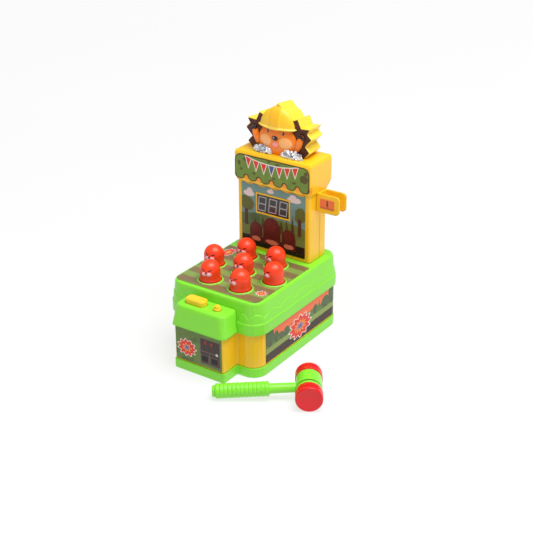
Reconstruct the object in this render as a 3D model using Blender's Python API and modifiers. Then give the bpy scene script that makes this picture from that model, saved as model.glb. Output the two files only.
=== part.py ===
"""Table-top mole pounding game: a moulded cabinet with seven spring-loaded moles,
a front console, a score tower under a scalloped awning, a crown and a mallet."""

import math
import random

import bmesh
import bpy
from mathutils import Matrix, Vector

mm = 0.001

# Cabinet plan. The origin lies under the middle of the base; the front faces -Y.
base_half_width = 61.6 * mm
body_depth = 171.0 * mm
console_depth = 25.5 * mm
rear_y = (body_depth + console_depth) / 2
console_front_y = -rear_y
body_front_y = console_front_y + console_depth
console_half_share = 0.55682
console_half_width = base_half_width * console_half_share
body_corner_radius = 17.5 * mm
console_corner_radius = 2.5 * mm
inner_corner_radius = 1.2 * mm
console_rise_lap = 5.0 * mm

# Heights of the cabinet above the table, each level set from the one below it
plinth_height = 11.6 * mm
skirt_rise = 42.0 * mm
ridge_rise = 13.2 * mm
cap_rise = 13.5 * mm
deck_rise = 11.0 * mm
skirt_height = plinth_height + skirt_rise
ridge_height = skirt_height + ridge_rise
cap_height = ridge_height + cap_rise
deck_height = cap_height + deck_rise

# Walls, clearances and cuts
moulded_wall = 2.0 * mm
cap_wall = 2.4 * mm
base_floor = 3.0 * mm
seat_gap = 0.3 * mm
label_gap = 0.15 * mm
label_thickness = 0.4 * mm
cut_overrun = 1.0 * mm
edge_radius = 0.8 * mm

# Steps of the cabinet wall, measured inwards from the plinth
body_inset = 1.3 * mm
tongue_inset = 2.6 * mm
tongue_height = 5.0 * mm
tongue_wall = 2.0 * mm
skirt_inset = -1.7 * mm
ridge_step = 1.6 * mm
upper_wall_draft = 2.1 * mm
deck_edge_radius = 2.8 * mm
hump_relief = 0.7 * mm
hump_root = 0.6 * mm
hump_valley_share = 0.267
hump_peak_share = 0.525
hump_edge = 0.5 * mm
front_hump_start = 34.0 * mm
corner_hump_start = 49.0 * mm
corner_hump_end = 68.0 * mm
side_hump_count = 7
hump_steps = 6
cap_overhang = 2.5 * mm
cap_draft = 3.6 * mm
cap_corner_radius = 7.0 * mm
cap_lap = 1.4 * mm
cap_foot_wall = 3.5 * mm
cap_edge_radius = 3.4 * mm
wiring_half_width = 26.0 * mm
wiring_height = 9.8 * mm

# Moles: two, three and two of them, on a staggered pattern
mole_pitch_share = 0.66883
row_pitch_share = 0.204094
mole_field_share = 0.358772
mole_pitch = base_half_width * mole_pitch_share
row_pitch = body_depth * row_pitch_share
mole_field_y = body_front_y + body_depth * mole_field_share
mole_radius = 11.8 * mm
mole_rise = 25.2 * mm
mole_wall = 1.5 * mm
mole_foot_flare = 1.2 * mm
mole_flare_height = 4.5 * mm
mole_flange_radius = 14.3 * mm
mole_flange_thickness = 1.6 * mm
mole_hole_clearance = 0.4 * mm
lip_width = 1.7 * mm
lip_height = 1.3 * mm
lip_taper_share = 0.45
flare_knee_shares = (0.35, 0.45)
mole_cavity_roof_share = 0.7
dome_steps = 4
post_radius = 5.6 * mm
post_length = 22.5 * mm
stem_radius = 3.0 * mm
stem_clearance = 0.4 * mm
stem_length = 54.5 * mm
mole_spring_wire = 0.9 * mm
mole_spring_radius = 4.5 * mm

# Frame that guides the moles, and the switch board under it
frame_side_room = 11.6 * mm
frame_half_width = base_half_width - frame_side_room
frame_margin = 7.0 * mm
frame_plate = 2.0 * mm
frame_drop = 19.3 * mm
sleeve_wall = 2.2 * mm
sleeve_above = 6.0 * mm
sleeve_below = 4.0 * mm
frame_peg_radius = 2.5 * mm
peg_pin_radius = 1.5 * mm
peg_pin_clearance = 0.3 * mm
peg_head_radius = 2.6 * mm
peg_head_thickness = 1.3 * mm
frame_peg_x_share = 0.88
frame_peg_y_share = 1.06
frame_peg_x = frame_half_width * frame_peg_x_share
frame_peg_y = row_pitch * frame_peg_y_share
board_thickness = 1.6 * mm
board_drop = 39.7 * mm
board_margin = 1.8 * mm
board_peg_x_share = 0.68
board_peg_y_share = 0.4585
board_peg_x = mole_pitch * board_peg_x_share
board_peg_y = row_pitch * board_peg_y_share
switch_radius = 3.0 * mm
switch_height = 1.6 * mm

# Base screws and the bosses that they pull together
screw_side_room = 12.6 * mm
screw_front_room = 14.75 * mm
screw_rear_room = 16.25 * mm
screw_x = base_half_width - screw_side_room
screw_front_y = body_front_y + screw_front_room
screw_rear_y = rear_y - screw_rear_room
screw_post_radius = 4.3 * mm
screw_post_height = 34.0 * mm
screw_boss_radius = 4.0 * mm
screw_bore_radius = 1.5 * mm
screw_bore_depth = 12.0 * mm
screw_hole_radius = 1.8 * mm
screw_recess_radius = 3.3 * mm
screw_floor = 4.0 * mm
screw_head_radius = 2.8 * mm
screw_head_thickness = 1.8 * mm
screw_shank_radius = 1.2 * mm
screw_length = 14.0 * mm
screw_slot_width = 0.8 * mm
screw_slot_depth = 0.9 * mm
screw_head_flat_share = 0.7
screw_head_round_share = 0.45

# Battery bay for three cells and its door
cell_radius = 7.1 * mm
cell_length = 50.0 * mm
cell_nub_radius = 2.6 * mm
cell_nub_height = 1.2 * mm
cell_pitch = 14.8 * mm
cell_edge_share = 0.12
bay_rear_room = 52.25 * mm
bay_centre_y = rear_y - bay_rear_room
bay_clearance = 0.9 * mm
bay_wall = 1.8 * mm
door_margin = 2.2 * mm
door_end_margin = 8.0 * mm
door_thickness = 2.0 * mm
door_lift = 0.2 * mm
door_corner_radius = 3.0 * mm
door_recess_clearance = 0.3 * mm
door_screw_recess = 2.8 * mm
door_screw_length = 6.5 * mm
door_seat_radius = 4.6 * mm
door_seat_rise = 2.2 * mm
door_boss_height = 9.0 * mm
door_rib_count = 5
door_rib_pitch = 4.0 * mm
door_rib_width = 1.2 * mm
door_rib_depth = 0.6 * mm

# Speaker in the base
speaker_front_room = 18.75 * mm
speaker_y = body_front_y + speaker_front_room
speaker_radius = 17.0 * mm
speaker_height = 8.0 * mm
speaker_rim = 2.0 * mm
speaker_magnet_radius = 8.5 * mm
speaker_wall = 1.6 * mm
speaker_ring_height = 4.0 * mm
speaker_hole_radius = 1.5 * mm
speaker_hole_ring = 8.0 * mm
speaker_hole_count = 6

# Start button and the small select button on the console
start_x_share = -0.34985
start_width_share = 0.74344
start_x = console_half_width * start_x_share
start_width = console_half_width * start_width_share
start_depth = 12.6 * mm
start_rise = 5.8 * mm
start_corner_radius = 4.6 * mm
start_edge_radius = 1.4 * mm
start_wall = 1.5 * mm
start_roof = 5.6 * mm
start_post_radius = 2.0 * mm
start_post_length = 10.9 * mm
start_spring_wire = 0.7 * mm
start_spring_radius = 3.4 * mm
button_clearance = 0.4 * mm
button_flange = 1.1 * mm
button_flange_thickness = 1.4 * mm
button_row_depth = 15.25 * mm
button_row_y = console_front_y + button_row_depth
select_x_share = 0.46064
select_x = console_half_width * select_x_share
select_radius = 4.6 * mm
select_collar_rise = 2.0 * mm
select_collar_edge = 0.6 * mm
select_knob_radius = 3.4 * mm
select_rise = 5.4 * mm
select_dome = 1.4 * mm
select_dome_shares = ((0.0, 0.0), (0.6, 0.12), (0.9, 0.45), (1.0, 1.0))
select_stem_length = 3.8 * mm
console_board_drop = 8.9 * mm
console_board_thickness = 1.2 * mm
console_board_side_room = 3.9 * mm
console_board_half_width = console_half_width - console_board_side_room
console_board_depth = 12.0 * mm
console_peg_side_room = 2.2 * mm
console_peg_x = console_board_half_width - console_peg_side_room
console_peg_radius = 1.7 * mm
console_pin_radius = 1.0 * mm
console_head_radius = 1.7 * mm
console_head_thickness = 0.9 * mm
console_switch_height = 1.3 * mm
console_switch_radius = 2.2 * mm

# Score tower
tower_side_room = 11.7 * mm
tower_rear_room = 14.65 * mm
tower_depth = 35.1 * mm
tower_half_width = base_half_width - tower_side_room
tower_rear_y = rear_y - tower_rear_room
tower_front_y = tower_rear_y - tower_depth
display_rise = 60.0 * mm
display_headroom = 58.7 * mm
display_height = deck_height + display_rise
tower_top = display_height + display_headroom
tower_corner_radius = 3.2 * mm
tower_split_depth = 21.0 * mm
tower_peg_radius = 3.0 * mm
tower_peg_length = 6.0 * mm
tower_peg_x = 32.0 * mm
tower_peg_inset = 9.0 * mm
tower_screw_x = 38.0 * mm
tower_screw_drop = 23.3 * mm
tower_boss_radius = 4.2 * mm
tower_recess_depth = 10.0 * mm

# Score display in the tower
bezel_half_width = 23.4 * mm
bezel_half_height = 12.8 * mm
bezel_rise = 0.9 * mm
window_half_width = 21.9 * mm
window_half_height = 11.0 * mm
window_recess = 0.3 * mm
window_flange = 1.6 * mm
window_flange_thickness = 1.0 * mm
digit_block_half_width = 20.6 * mm
digit_block_half_height = 9.8 * mm
digit_block_depth = 4.2 * mm
display_board_half_width = 31.0 * mm
display_board_half_height = 17.0 * mm
display_peg_room = 4.0 * mm
display_peg_x = display_board_half_width - display_peg_room
display_peg_height = display_board_half_height - display_peg_room
display_peg_radius = 1.8 * mm

# Awning hood over the top of the tower
awning_overhang = 1.9 * mm
awning_front_overhang = 2.9 * mm
awning_rear_overhang = 10.1 * mm
awning_half_width = tower_half_width + awning_overhang
awning_front_y = tower_front_y - awning_front_overhang
awning_rear_y = tower_rear_y + awning_rear_overhang
awning_rise = 2.5 * mm
awning_side_drop = 29.5 * mm
awning_neck_drop = 38.0 * mm
awning_top = tower_top + awning_rise
awning_side_bottom = awning_top - awning_side_drop
awning_neck_bottom = awning_top - awning_neck_drop
awning_neck_wall = 1.1 * mm
awning_front_radius = 2.0 * mm
awning_rear_radius = 5.0 * mm
awning_edge_radius = 4.2 * mm
lobe_pitch = 17.5 * mm
lobe_drop = 3.5 * mm
lobe_middle_drop = 1.9 * mm
lobe_middle = awning_side_bottom - lobe_middle_drop
notch_count = 5
notch_half_width = 2.7 * mm
notch_rise = 2.7 * mm
valance_clearance = 0.3 * mm
valance_bottom = awning_neck_bottom + valance_clearance
valance_drop = 3.4 * mm
valance_thickness = 2.1 * mm
valance_height = 25.2 * mm
valance_top = valance_bottom + valance_height
awning_label_drop = 4.3 * mm
awning_label_top = awning_top - awning_label_drop
awning_label_corner_radius = 8.5 * mm
awning_label_margin = 1.2 * mm

# Labels
deck_label_rear_gap = 9.3 * mm
deck_label_rear_y = tower_front_y - deck_label_rear_gap
deck_label_corner_radius = 7.5 * mm
deck_label_side_margin = 0.8 * mm
deck_label_front_margin = 1.6 * mm
print_clearance = 0.3 * mm
side_label_bottom_gap = 2.2 * mm
side_label_top_gap = 0.6 * mm
side_label_wrap_degrees = 35.0
screen_label_side_margin = 6.2 * mm
screen_label_half_width = tower_half_width - screen_label_side_margin
screen_label_foot = 4.7 * mm
screen_label_head = 0.9 * mm
screen_label_corner_radius = 1.0 * mm
console_label_left = 31.7 * mm
console_label_right = 30.7 * mm
console_label_margin = 1.3 * mm
console_label_height = 40.3 * mm

# Fork on the tower's right side that holds the mallet by its shaft
clip_front_room = 12.5 * mm
clip_front_y = tower_front_y + clip_front_room
clip_reach = 29.9 * mm
clip_plate = 2.3 * mm
clip_slot = 12.6 * mm
clip_drop = 37.5 * mm
clip_height = 22.0 * mm
clip_top = awning_top - clip_drop
clip_bottom = clip_top - clip_height
clip_root = 2.8 * mm
clip_corner_radius = 5.0 * mm
clip_tip_radius = 0.8 * mm
clip_slot_radius = 3.0 * mm
clip_peg_radius = 2.2 * mm
clip_peg_length = 5.0 * mm
clip_peg_inset = 4.5 * mm
clip_label_width = 18.4 * mm
clip_label_height = 11.3 * mm
clip_label_offset = 15.2 * mm
clip_label_corner_radius = 0.8 * mm

# Crown on top of the awning
crown_front_room = 14.1 * mm
crown_front_y = awning_front_y + crown_front_room
crown_depth = 27.0 * mm
crown_side_step = 7.4 * mm
crown_half_width = awning_half_width - crown_side_step
crown_rise = 58.2 * mm
crown_edge = 1.2 * mm
crown_wall = 3.0 * mm
crown_cavity_half_width = 18.0 * mm
crown_cavity_round_share = 0.6
crown_cavity_height = 34.0 * mm
crown_peg_x = 23.5 * mm
crown_peg_radius = 2.6 * mm
crown_peg_length = 8.0 * mm
crown_peg_inset = 14.5 * mm
backing_thickness = 0.8 * mm
crown_outline_shares = (
    (0.780, 0.000),
    (0.945, 0.130),
    (0.805, 0.250),
    (1.000, 0.410),
    (0.865, 0.505),
    (0.945, 0.605),
    (0.690, 0.592),
    (0.585, 0.765),
    (0.420, 0.715),
    (0.285, 0.845),
    (0.150, 0.895),
    (0.030, 1.000),
)
crown_rear_share = 0.95
crown_middle_share = 0.4
backing_share = 0.975

# Mole and hard hat modelled in relief on the crown
head_half_width = 26.5 * mm
head_reach = 9.8 * mm
head_centre_rise = 15.0 * mm
head_half_height = 21.0 * mm
arm_half_width = 5.0 * mm
arm_half_length = 11.5 * mm
arm_reach = 4.2 * mm
arm_x = 28.5 * mm
arm_rise = 17.0 * mm
arm_lean_degrees = 18.0
helmet_rise = 30.5 * mm
helmet_half_width = 23.5 * mm
helmet_height = 26.0 * mm
helmet_reach = 11.0 * mm
brim_half_width = 26.0 * mm
brim_reach = 13.2 * mm
brim_half_thickness = 1.6 * mm
brim_cut = 1.0 * mm
helmet_drop = 0.7 * mm
helmet_rib_half_width = 5.0 * mm
helmet_rib_rise = 1.4 * mm
gravel_left_share = -0.394
gravel_right_share = 0.4955
gravel_left_x = crown_half_width * gravel_left_share
gravel_right_x = crown_half_width * gravel_right_share
gravel_left_half_width = 14.2 * mm
gravel_right_half_width = 16.5 * mm
gravel_half_depth = 3.6 * mm
gravel_rise = 9.5 * mm
gravel_front_room = 3.8 * mm
gravel_front_y = awning_front_y + gravel_front_room
gravel_roughness_share = 0.2
gravel_clearance = 0.4 * mm
gravel_seed = 7

# Mallet, laid on the table in front of the right-hand side
mallet_side_room = 64.9 * mm
mallet_front_room = 1.75 * mm
mallet_x = base_half_width + mallet_side_room
mallet_y = body_front_y + mallet_front_room
mallet_turn_degrees = 33.0
mallet_length = 103.5 * mm
grip_length = 61.0 * mm
grip_radius = 8.2 * mm
grip_rib_count = 12
grip_rib_depth = 0.8 * mm
grip_end_radius = 6.4 * mm
grip_end_length = 3.6 * mm
grip_rib_shares = (0.0, 0.25, 0.8)
shaft_radius = 5.6 * mm
shaft_tip_radius = 5.2 * mm
shaft_entry = 9.0 * mm
barrel_length = 27.0 * mm
barrel_radius = 14.3 * mm
barrel_groove_width = 1.8 * mm
barrel_groove_depth = 1.0 * mm
barrel_groove_offset = 4.2 * mm
shaft_clearance = 0.3 * mm
face_radius = 15.0 * mm
face_length = 13.0 * mm
face_flat_radius = 13.2 * mm
face_groove_width = 1.4 * mm
face_groove_depth = 0.8 * mm
face_groove_share = 0.45
face_edge_share = 0.3
face_spigot_radius = 8.0 * mm
face_spigot_length = 5.0 * mm
face_spigot_clearance = 0.3 * mm

# Facets and shading of round shapes
smooth_degrees = 35.0
quarter_share = 1 - math.cos(math.pi / 4)
tower_corner_steps = 4
cap_corner_steps = 4
screw_segments = 8
round_segments = 10
speaker_hole_segments = 6
ellipsoid_segments = 20
ellipsoid_rings = 12
small_ellipsoid_rings = 8
corner_steps = 5
small_corner_steps = 3
tip_steps = 2
mole_segments = 14
hole_segments = 16
peg_segments = 8
mallet_segments = 18
grip_segments = 12
spring_turns = 3
spring_points_per_turn = 8
lobe_steps = 5

# Colours of the mouldings, as linear values
green = (0.25, 0.72, 0.07)
yellow = (0.95, 0.62, 0.05)
mole_red = (0.78, 0.05, 0.02)
orange = (1.0, 0.20, 0.03)
label_green = (0.20, 0.26, 0.08)
label_orange = (0.85, 0.22, 0.11)
dark_brown = (0.07, 0.02, 0.01)
screen_blue = (0.15, 0.28, 0.28)
near_black = (0.03, 0.03, 0.035)
board_green = (0.02, 0.16, 0.06)
natural_white = (0.75, 0.74, 0.70)
silver = (0.72, 0.72, 0.74)
spring_steel = (0.55, 0.55, 0.57)
zinc = (0.50, 0.50, 0.52)
mallet_red = (0.80, 0.03, 0.04)

# Places worked out from the sizes above
tower_split_y = tower_front_y + tower_split_depth
tower_bottom = deck_height + seat_gap
deck_underside = deck_height - moulded_wall
cap_underside = cap_height - moulded_wall
mole_hole_radius = mole_radius + mole_foot_flare + mole_hole_clearance
lip_radius = mole_hole_radius + lip_width
mole_flange_top = deck_underside - seat_gap
mole_top = deck_height + mole_rise
stem_tip = mole_top - stem_length
post_end = mole_top - post_length
frame_top = deck_height - frame_drop
frame_bottom = frame_top - frame_plate
sleeve_top = frame_top + sleeve_above
board_top = deck_height - board_drop
board_bottom = board_top - board_thickness
console_board_top = cap_height - console_board_drop - seat_gap
console_board_bottom = console_board_top - console_board_thickness
screw_seat = screw_post_height - screw_floor
tower_wall_inner_y = tower_front_y + moulded_wall
crown_base = awning_top + seat_gap
wall_upper_inset = skirt_inset + ridge_step
wall_top_inset = wall_upper_inset + upper_wall_draft
rim_inner_inset = tongue_inset - seat_gap
console_rear_y = body_front_y + skirt_inset - seat_gap

parts = bpy.data.collections.new("mole_pounding_game")
cutters = bpy.data.collections.new("cutters")


def clear_scene():
    for item in list(bpy.data.objects):
        bpy.data.objects.remove(item, do_unlink=True)
    bpy.context.scene.collection.children.link(parts)
    bpy.context.scene.collection.children.link(cutters)


def finish_piece(piece, colour, roughness, metallic=0.0, alpha=1.0):
    """Give a piece its own material and smooth shading over its round faces."""
    material = bpy.data.materials.new(piece.name)
    material.use_nodes = True
    shader = material.node_tree.nodes["Principled BSDF"]
    shader.inputs["Base Color"].default_value = (*colour, 1.0)
    shader.inputs["Roughness"].default_value = roughness
    shader.inputs["Metallic"].default_value = metallic
    shader.inputs["Alpha"].default_value = alpha
    piece.data.materials.append(material)
    if piece.type == "MESH":
        piece.data.shade_smooth()
        piece.data.set_sharp_from_angle(angle=math.radians(smooth_degrees))
    return piece


def mesh_object(name, work, collection=parts):
    """Turn a bmesh into an object whose faces point outwards."""
    bmesh.ops.recalc_face_normals(work, faces=work.faces)
    mesh = bpy.data.meshes.new(name)
    work.to_mesh(mesh)
    work.free()
    piece = bpy.data.objects.new(name, mesh)
    collection.objects.link(piece)
    if collection is cutters:
        piece.hide_render = True
        piece.display_type = "WIRE"
    return piece


def rounded(corners):
    """Outline through (x, y, radius, steps) corners, with each corner as an arc."""
    points = []
    for index, (x, y, radius, steps) in enumerate(corners):
        here = Vector((x, y))
        before = Vector(corners[index - 1][:2]) - here
        after = Vector(corners[(index + 1) % len(corners)][:2]) - here
        if radius <= 0:
            points.append(here)
            continue
        before.normalize()
        after.normalize()
        half_angle = before.angle(after) / 2
        centre = here + (before + after).normalized() * radius / math.sin(half_angle)
        reach = radius / math.tan(half_angle)
        start = here + before * reach - centre
        end = here + after * reach - centre
        sweep = start.angle(end)
        for step in range(steps + 1):
            turn = sweep * step / steps
            blend = start * math.sin(sweep - turn) + end * math.sin(turn)
            points.append(centre + blend / math.sin(sweep))
    return points


def rectangle(low, high, radius, steps=small_corner_steps):
    return rounded([
        (low[0], low[1], radius, steps),
        (high[0], low[1], radius, steps),
        (high[0], high[1], radius, steps),
        (low[0], high[1], radius, steps),
    ])


def body_plan(inset):
    """The cabinet body seen from above, without its console."""
    half = base_half_width - inset
    radius = body_corner_radius - inset
    return rectangle((-half, body_front_y + inset), (half, rear_y - inset), radius, corner_steps)


def cabinet_plan(inset):
    """Body and console together, seen from above."""
    half = base_half_width - inset
    console = console_half_width - inset
    front = body_front_y + inset
    tip = console_front_y + inset
    rear = rear_y - inset
    wide = body_corner_radius - inset
    small = max(console_corner_radius - inset, edge_radius)
    hollow = inner_corner_radius + inset
    return rounded([
        (-console, tip, small, small_corner_steps),
        (console, tip, small, small_corner_steps),
        (console, front, hollow, small_corner_steps),
        (half, front, wide, corner_steps),
        (half, rear, wide, corner_steps),
        (-half, rear, wide, corner_steps),
        (-half, front, wide, corner_steps),
        (-console, front, hollow, small_corner_steps),
    ])


def at_height(outline, height):
    return [Vector((point[0], point[1], height)) for point in outline]


def at_depth(outline, depth):
    """An outline in X and Z, placed at a given Y."""
    return [Vector((point[0], depth, point[1])) for point in outline]


def loft(name, rings, closed=False, collection=parts):
    """Skin over like rings: capped at both ends, or closed round into a tube."""
    work = bmesh.new()
    loops = [[work.verts.new(point) for point in ring] for ring in rings]
    pairs = list(zip(loops, loops[1:]))
    if closed:
        pairs.append((loops[-1], loops[0]))
    else:
        work.faces.new(loops[0])
        work.faces.new(loops[-1])
    for first, second in pairs:
        for index in range(len(first)):
            following = (index + 1) % len(first)
            work.faces.new((first[index], first[following], second[following], second[index]))
    return mesh_object(name, work, collection)


def block(name, low, high, collection=parts):
    work = bmesh.new()
    bmesh.ops.create_cube(work, size=1.0)
    size = Vector(high) - Vector(low)
    middle = (Vector(high) + Vector(low)) / 2
    bmesh.ops.transform(work, matrix=Matrix.Diagonal((*size, 1.0)), verts=work.verts)
    bmesh.ops.translate(work, vec=middle, verts=work.verts)
    return mesh_object(name, work, collection)


def rods(name, centres, radius, low, high, axis="Z", segments=peg_segments, end_radius=None,
         collection=cutters):
    """Round rods, one at each centre, between two places along an axis."""
    turns = {
        "X": Matrix.Rotation(math.pi / 2, 4, "Y"),
        "Y": Matrix.Rotation(-math.pi / 2, 4, "X"),
        "Z": Matrix.Identity(4),
    }
    place = "XYZ".index(axis)
    work = bmesh.new()
    for centre in centres:
        middle = list(centre)
        middle.insert(place, (low + high) / 2)
        bmesh.ops.create_cone(
            work, cap_ends=True, segments=segments, radius1=radius,
            radius2=radius if end_radius is None else end_radius, depth=high - low,
            matrix=Matrix.Translation(middle) @ turns[axis],
        )
    return mesh_object(name, work, collection)


def combine(piece, tool, operation):
    modifier = piece.modifiers.new(tool.name, "BOOLEAN")
    modifier.operation = operation
    modifier.solver = "EXACT"
    modifier.object = tool
    return piece


def cut(piece, tool):
    return combine(piece, tool, "DIFFERENCE")


def join(piece, tool):
    return combine(piece, tool, "UNION")


def keep_common(piece, tool):
    return combine(piece, tool, "INTERSECT")


def turned(name, profile, centre=(0, 0, 0), segments=mole_segments, parent=None, axis="Z"):
    """A turned piece: its profile of (radius, height) runs down the outer side."""
    mesh = bpy.data.meshes.new(name)
    points = [(radius, 0, height) for radius, height in profile]
    edges = [(index, index + 1) for index in range(len(points) - 1)]
    if profile[0][0] > 0:
        edges.append((len(points) - 1, 0))
    mesh.from_pydata(points, edges, [])
    piece = bpy.data.objects.new(name, mesh)
    parts.objects.link(piece)
    screw = piece.modifiers.new("turn", "SCREW")
    screw.axis = "Z"
    screw.angle = math.tau
    screw.steps = segments
    screw.render_steps = segments
    screw.use_merge_vertices = True
    screw.merge_threshold = 0.00001
    screw.use_smooth_shade = True
    piece.location = centre
    if axis == "Y":
        piece.rotation_euler = (math.pi / 2, 0, 0)
    if axis == "X":
        piece.rotation_euler = (0, math.pi / 2, 0)
    if parent is not None:
        piece.parent = parent
    return piece


def ellipsoid(name, centre, radii, segments=ellipsoid_segments, rings=ellipsoid_rings, collection=cutters):
    work = bmesh.new()
    bmesh.ops.create_uvsphere(work, u_segments=segments, v_segments=rings, radius=1.0)
    bmesh.ops.transform(work, matrix=Matrix.Diagonal((*radii, 1.0)), verts=work.verts)
    bmesh.ops.translate(work, vec=centre, verts=work.verts)
    return mesh_object(name, work, collection)


def coil(name, centre, radius, wire, low, high):
    """A compression spring as a round wire, held to its height range."""
    points = spring_turns * spring_points_per_turn
    curve = bpy.data.curves.new(name, "CURVE")
    curve.dimensions = "3D"
    curve.bevel_depth = wire / 2
    curve.bevel_resolution = 0
    curve.use_fill_caps = True
    curve.resolution_u = 1
    spline = curve.splines.new("POLY")
    spline.points.add(points)
    for index in range(points + 1):
        angle = math.tau * index / spring_points_per_turn
        height = low + wire / 2 + (high - low - wire) * index / points
        spline.points[index].co = (radius * math.cos(angle), radius * math.sin(angle), height, 1.0)
    piece = bpy.data.objects.new(name, curve)
    piece.location = (centre[0], centre[1], 0)
    parts.objects.link(piece)
    return piece


def joint_empty(name, place, rotation=(0, 0, 0)):
    empty = bpy.data.objects.new(name, None)
    empty.empty_display_type = "SINGLE_ARROW"
    empty.empty_display_size = mole_rise
    empty.location = place
    empty.rotation_euler = rotation
    parts.objects.link(empty)
    return empty


def on_empty(piece, empty):
    """Hang a piece that was modelled in place under its joint's empty."""
    bpy.context.view_layer.update()
    piece.parent = empty
    piece.matrix_parent_inverse = empty.matrix_world.inverted()
    return piece


def mole_places():
    front = [(-mole_pitch / 2, mole_field_y - row_pitch), (mole_pitch / 2, mole_field_y - row_pitch)]
    middle = [(side * mole_pitch, mole_field_y) for side in (-1, 0, 1)]
    rear = [(-mole_pitch / 2, mole_field_y + row_pitch), (mole_pitch / 2, mole_field_y + row_pitch)]
    return front + middle + rear


def screw_places():
    return [(side * screw_x, y) for y in (screw_front_y, screw_rear_y) for side in (-1, 1)]


def frame_peg_places():
    return [(side * frame_peg_x, mole_field_y + end * frame_peg_y) for end in (-1, 1) for side in (-1, 1)]


def board_peg_places():
    return [(side * board_peg_x, mole_field_y + end * board_peg_y) for end in (-1, 1) for side in (-1, 1)]


def bay_limits():
    """Low and high corners, in X and Y, of the space for the cells."""
    half_width = cell_pitch + cell_radius + bay_clearance
    half_length = cell_length / 2 + cell_nub_height + bay_clearance
    return (-half_width, bay_centre_y - half_length), (half_width, bay_centre_y + half_length)


def door_limits():
    (left, front), (right, rear) = bay_limits()
    return (left - door_margin, front - door_margin), (right + door_margin, rear + door_end_margin)


def door_screw_place():
    return 0.0, door_limits()[1][1] - door_end_margin / 2


def build_base_plate():
    """Green plinth: a tray with screw posts, battery bay and speaker ring."""
    base = loft("base_plate", [
        at_height(cabinet_plan(edge_radius), 0),
        at_height(cabinet_plan(0), edge_radius),
        at_height(cabinet_plan(0), plinth_height - edge_radius / 2),
        at_height(cabinet_plan(edge_radius / 2), plinth_height),
        at_height(cabinet_plan(rim_inner_inset), plinth_height),
        at_height(cabinet_plan(rim_inner_inset), base_floor),
    ])
    half_floor = base_floor / 2
    posts = rods("screw_posts", screw_places(), screw_post_radius, half_floor, screw_post_height)
    join(base, posts)
    (left, front), (right, rear) = bay_limits()
    cell_top = door_lift + door_thickness + seat_gap + 2 * cell_radius
    bay_roof = cell_top + seat_gap
    door_low, door_high = door_limits()
    bay = block(
        "bay_block", (left - bay_wall - door_margin, front - bay_wall - door_margin, half_floor),
        (right + bay_wall + door_margin, rear + bay_wall, bay_roof + bay_wall), cutters)
    join(base, bay)
    boss = block(
        "door_boss", (left - bay_wall - door_margin, rear, half_floor),
        (right + bay_wall + door_margin, door_high[1] + bay_wall, door_boss_height), cutters)
    join(base, boss)
    recess = loft("door_recess", [
        at_height(rectangle(
            (door_low[0] - door_recess_clearance, door_low[1] - door_recess_clearance),
            (door_high[0] + door_recess_clearance, door_high[1] + door_recess_clearance),
            door_corner_radius), height)
        for height in (-cut_overrun, door_lift + door_thickness + seat_gap / 2)
    ], collection=cutters)
    cut(base, recess)
    cut(base, block("bay_space", (left, front, 0), (right, rear, bay_roof), cutters))
    door_x, door_y = door_screw_place()
    door_top = door_lift + door_thickness
    cut(base, rods("door_seat_hole", [(door_x, door_y)], door_seat_radius + seat_gap, 0,
                   door_top + door_seat_rise + seat_gap))
    cut(base, rods("door_bore", [(door_x, door_y)], screw_bore_radius, door_top,
                   door_boss_height - moulded_wall / 2))
    ring = rods("speaker_ring", [(0, speaker_y)], speaker_radius + seat_gap + speaker_wall,
                half_floor, base_floor + speaker_ring_height, segments=mallet_segments)
    join(base, ring)
    cut(base, rods("speaker_seat", [(0, speaker_y)], speaker_radius + seat_gap, base_floor,
                   base_floor + speaker_ring_height + cut_overrun, segments=mallet_segments))
    grille = [(0, speaker_y)]
    for index in range(speaker_hole_count):
        angle = math.tau * index / speaker_hole_count
        grille.append((speaker_hole_ring * math.cos(angle), speaker_y + speaker_hole_ring * math.sin(angle)))
    cut(base, rods("speaker_holes", grille, speaker_hole_radius, -cut_overrun, base_floor + cut_overrun,
                   segments=speaker_hole_segments))
    cut(base, rods("screw_recesses", screw_places(), screw_recess_radius, -cut_overrun, screw_seat))
    cut(base, rods("screw_holes", screw_places(), screw_hole_radius, screw_seat - cut_overrun,
                   screw_post_height + cut_overrun))
    return finish_piece(base, green, 0.32)


def build_battery_door():
    low, high = door_limits()
    door = loft("battery_door", [
        at_height(rectangle(low, high, door_corner_radius), height)
        for height in (door_lift, door_lift + door_thickness)
    ])
    x, y = door_screw_place()
    seat_top = door_lift + door_thickness + door_seat_rise
    join(door, rods("door_seat", [(x, y)], door_seat_radius, door_lift + door_thickness / 2, seat_top))
    cut(door, rods("door_screw_recess", [(x, y)], screw_recess_radius, -cut_overrun,
                   door_lift + door_screw_recess))
    cut(door, rods("door_screw_hole", [(x, y)], screw_hole_radius, 0, seat_top + cut_overrun))
    first = low[1] + door_end_margin
    grooves = bmesh.new()
    for index in range(door_rib_count):
        bmesh.ops.create_cube(grooves, size=1.0, matrix=Matrix.Translation(
            (0, first + index * door_rib_pitch, door_lift)) @ Matrix.Diagonal(
            (high[0], door_rib_width, 2 * door_rib_depth, 1.0)))
    cut(door, mesh_object("door_grooves", grooves, cutters))
    return finish_piece(door, green, 0.4)


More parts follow.
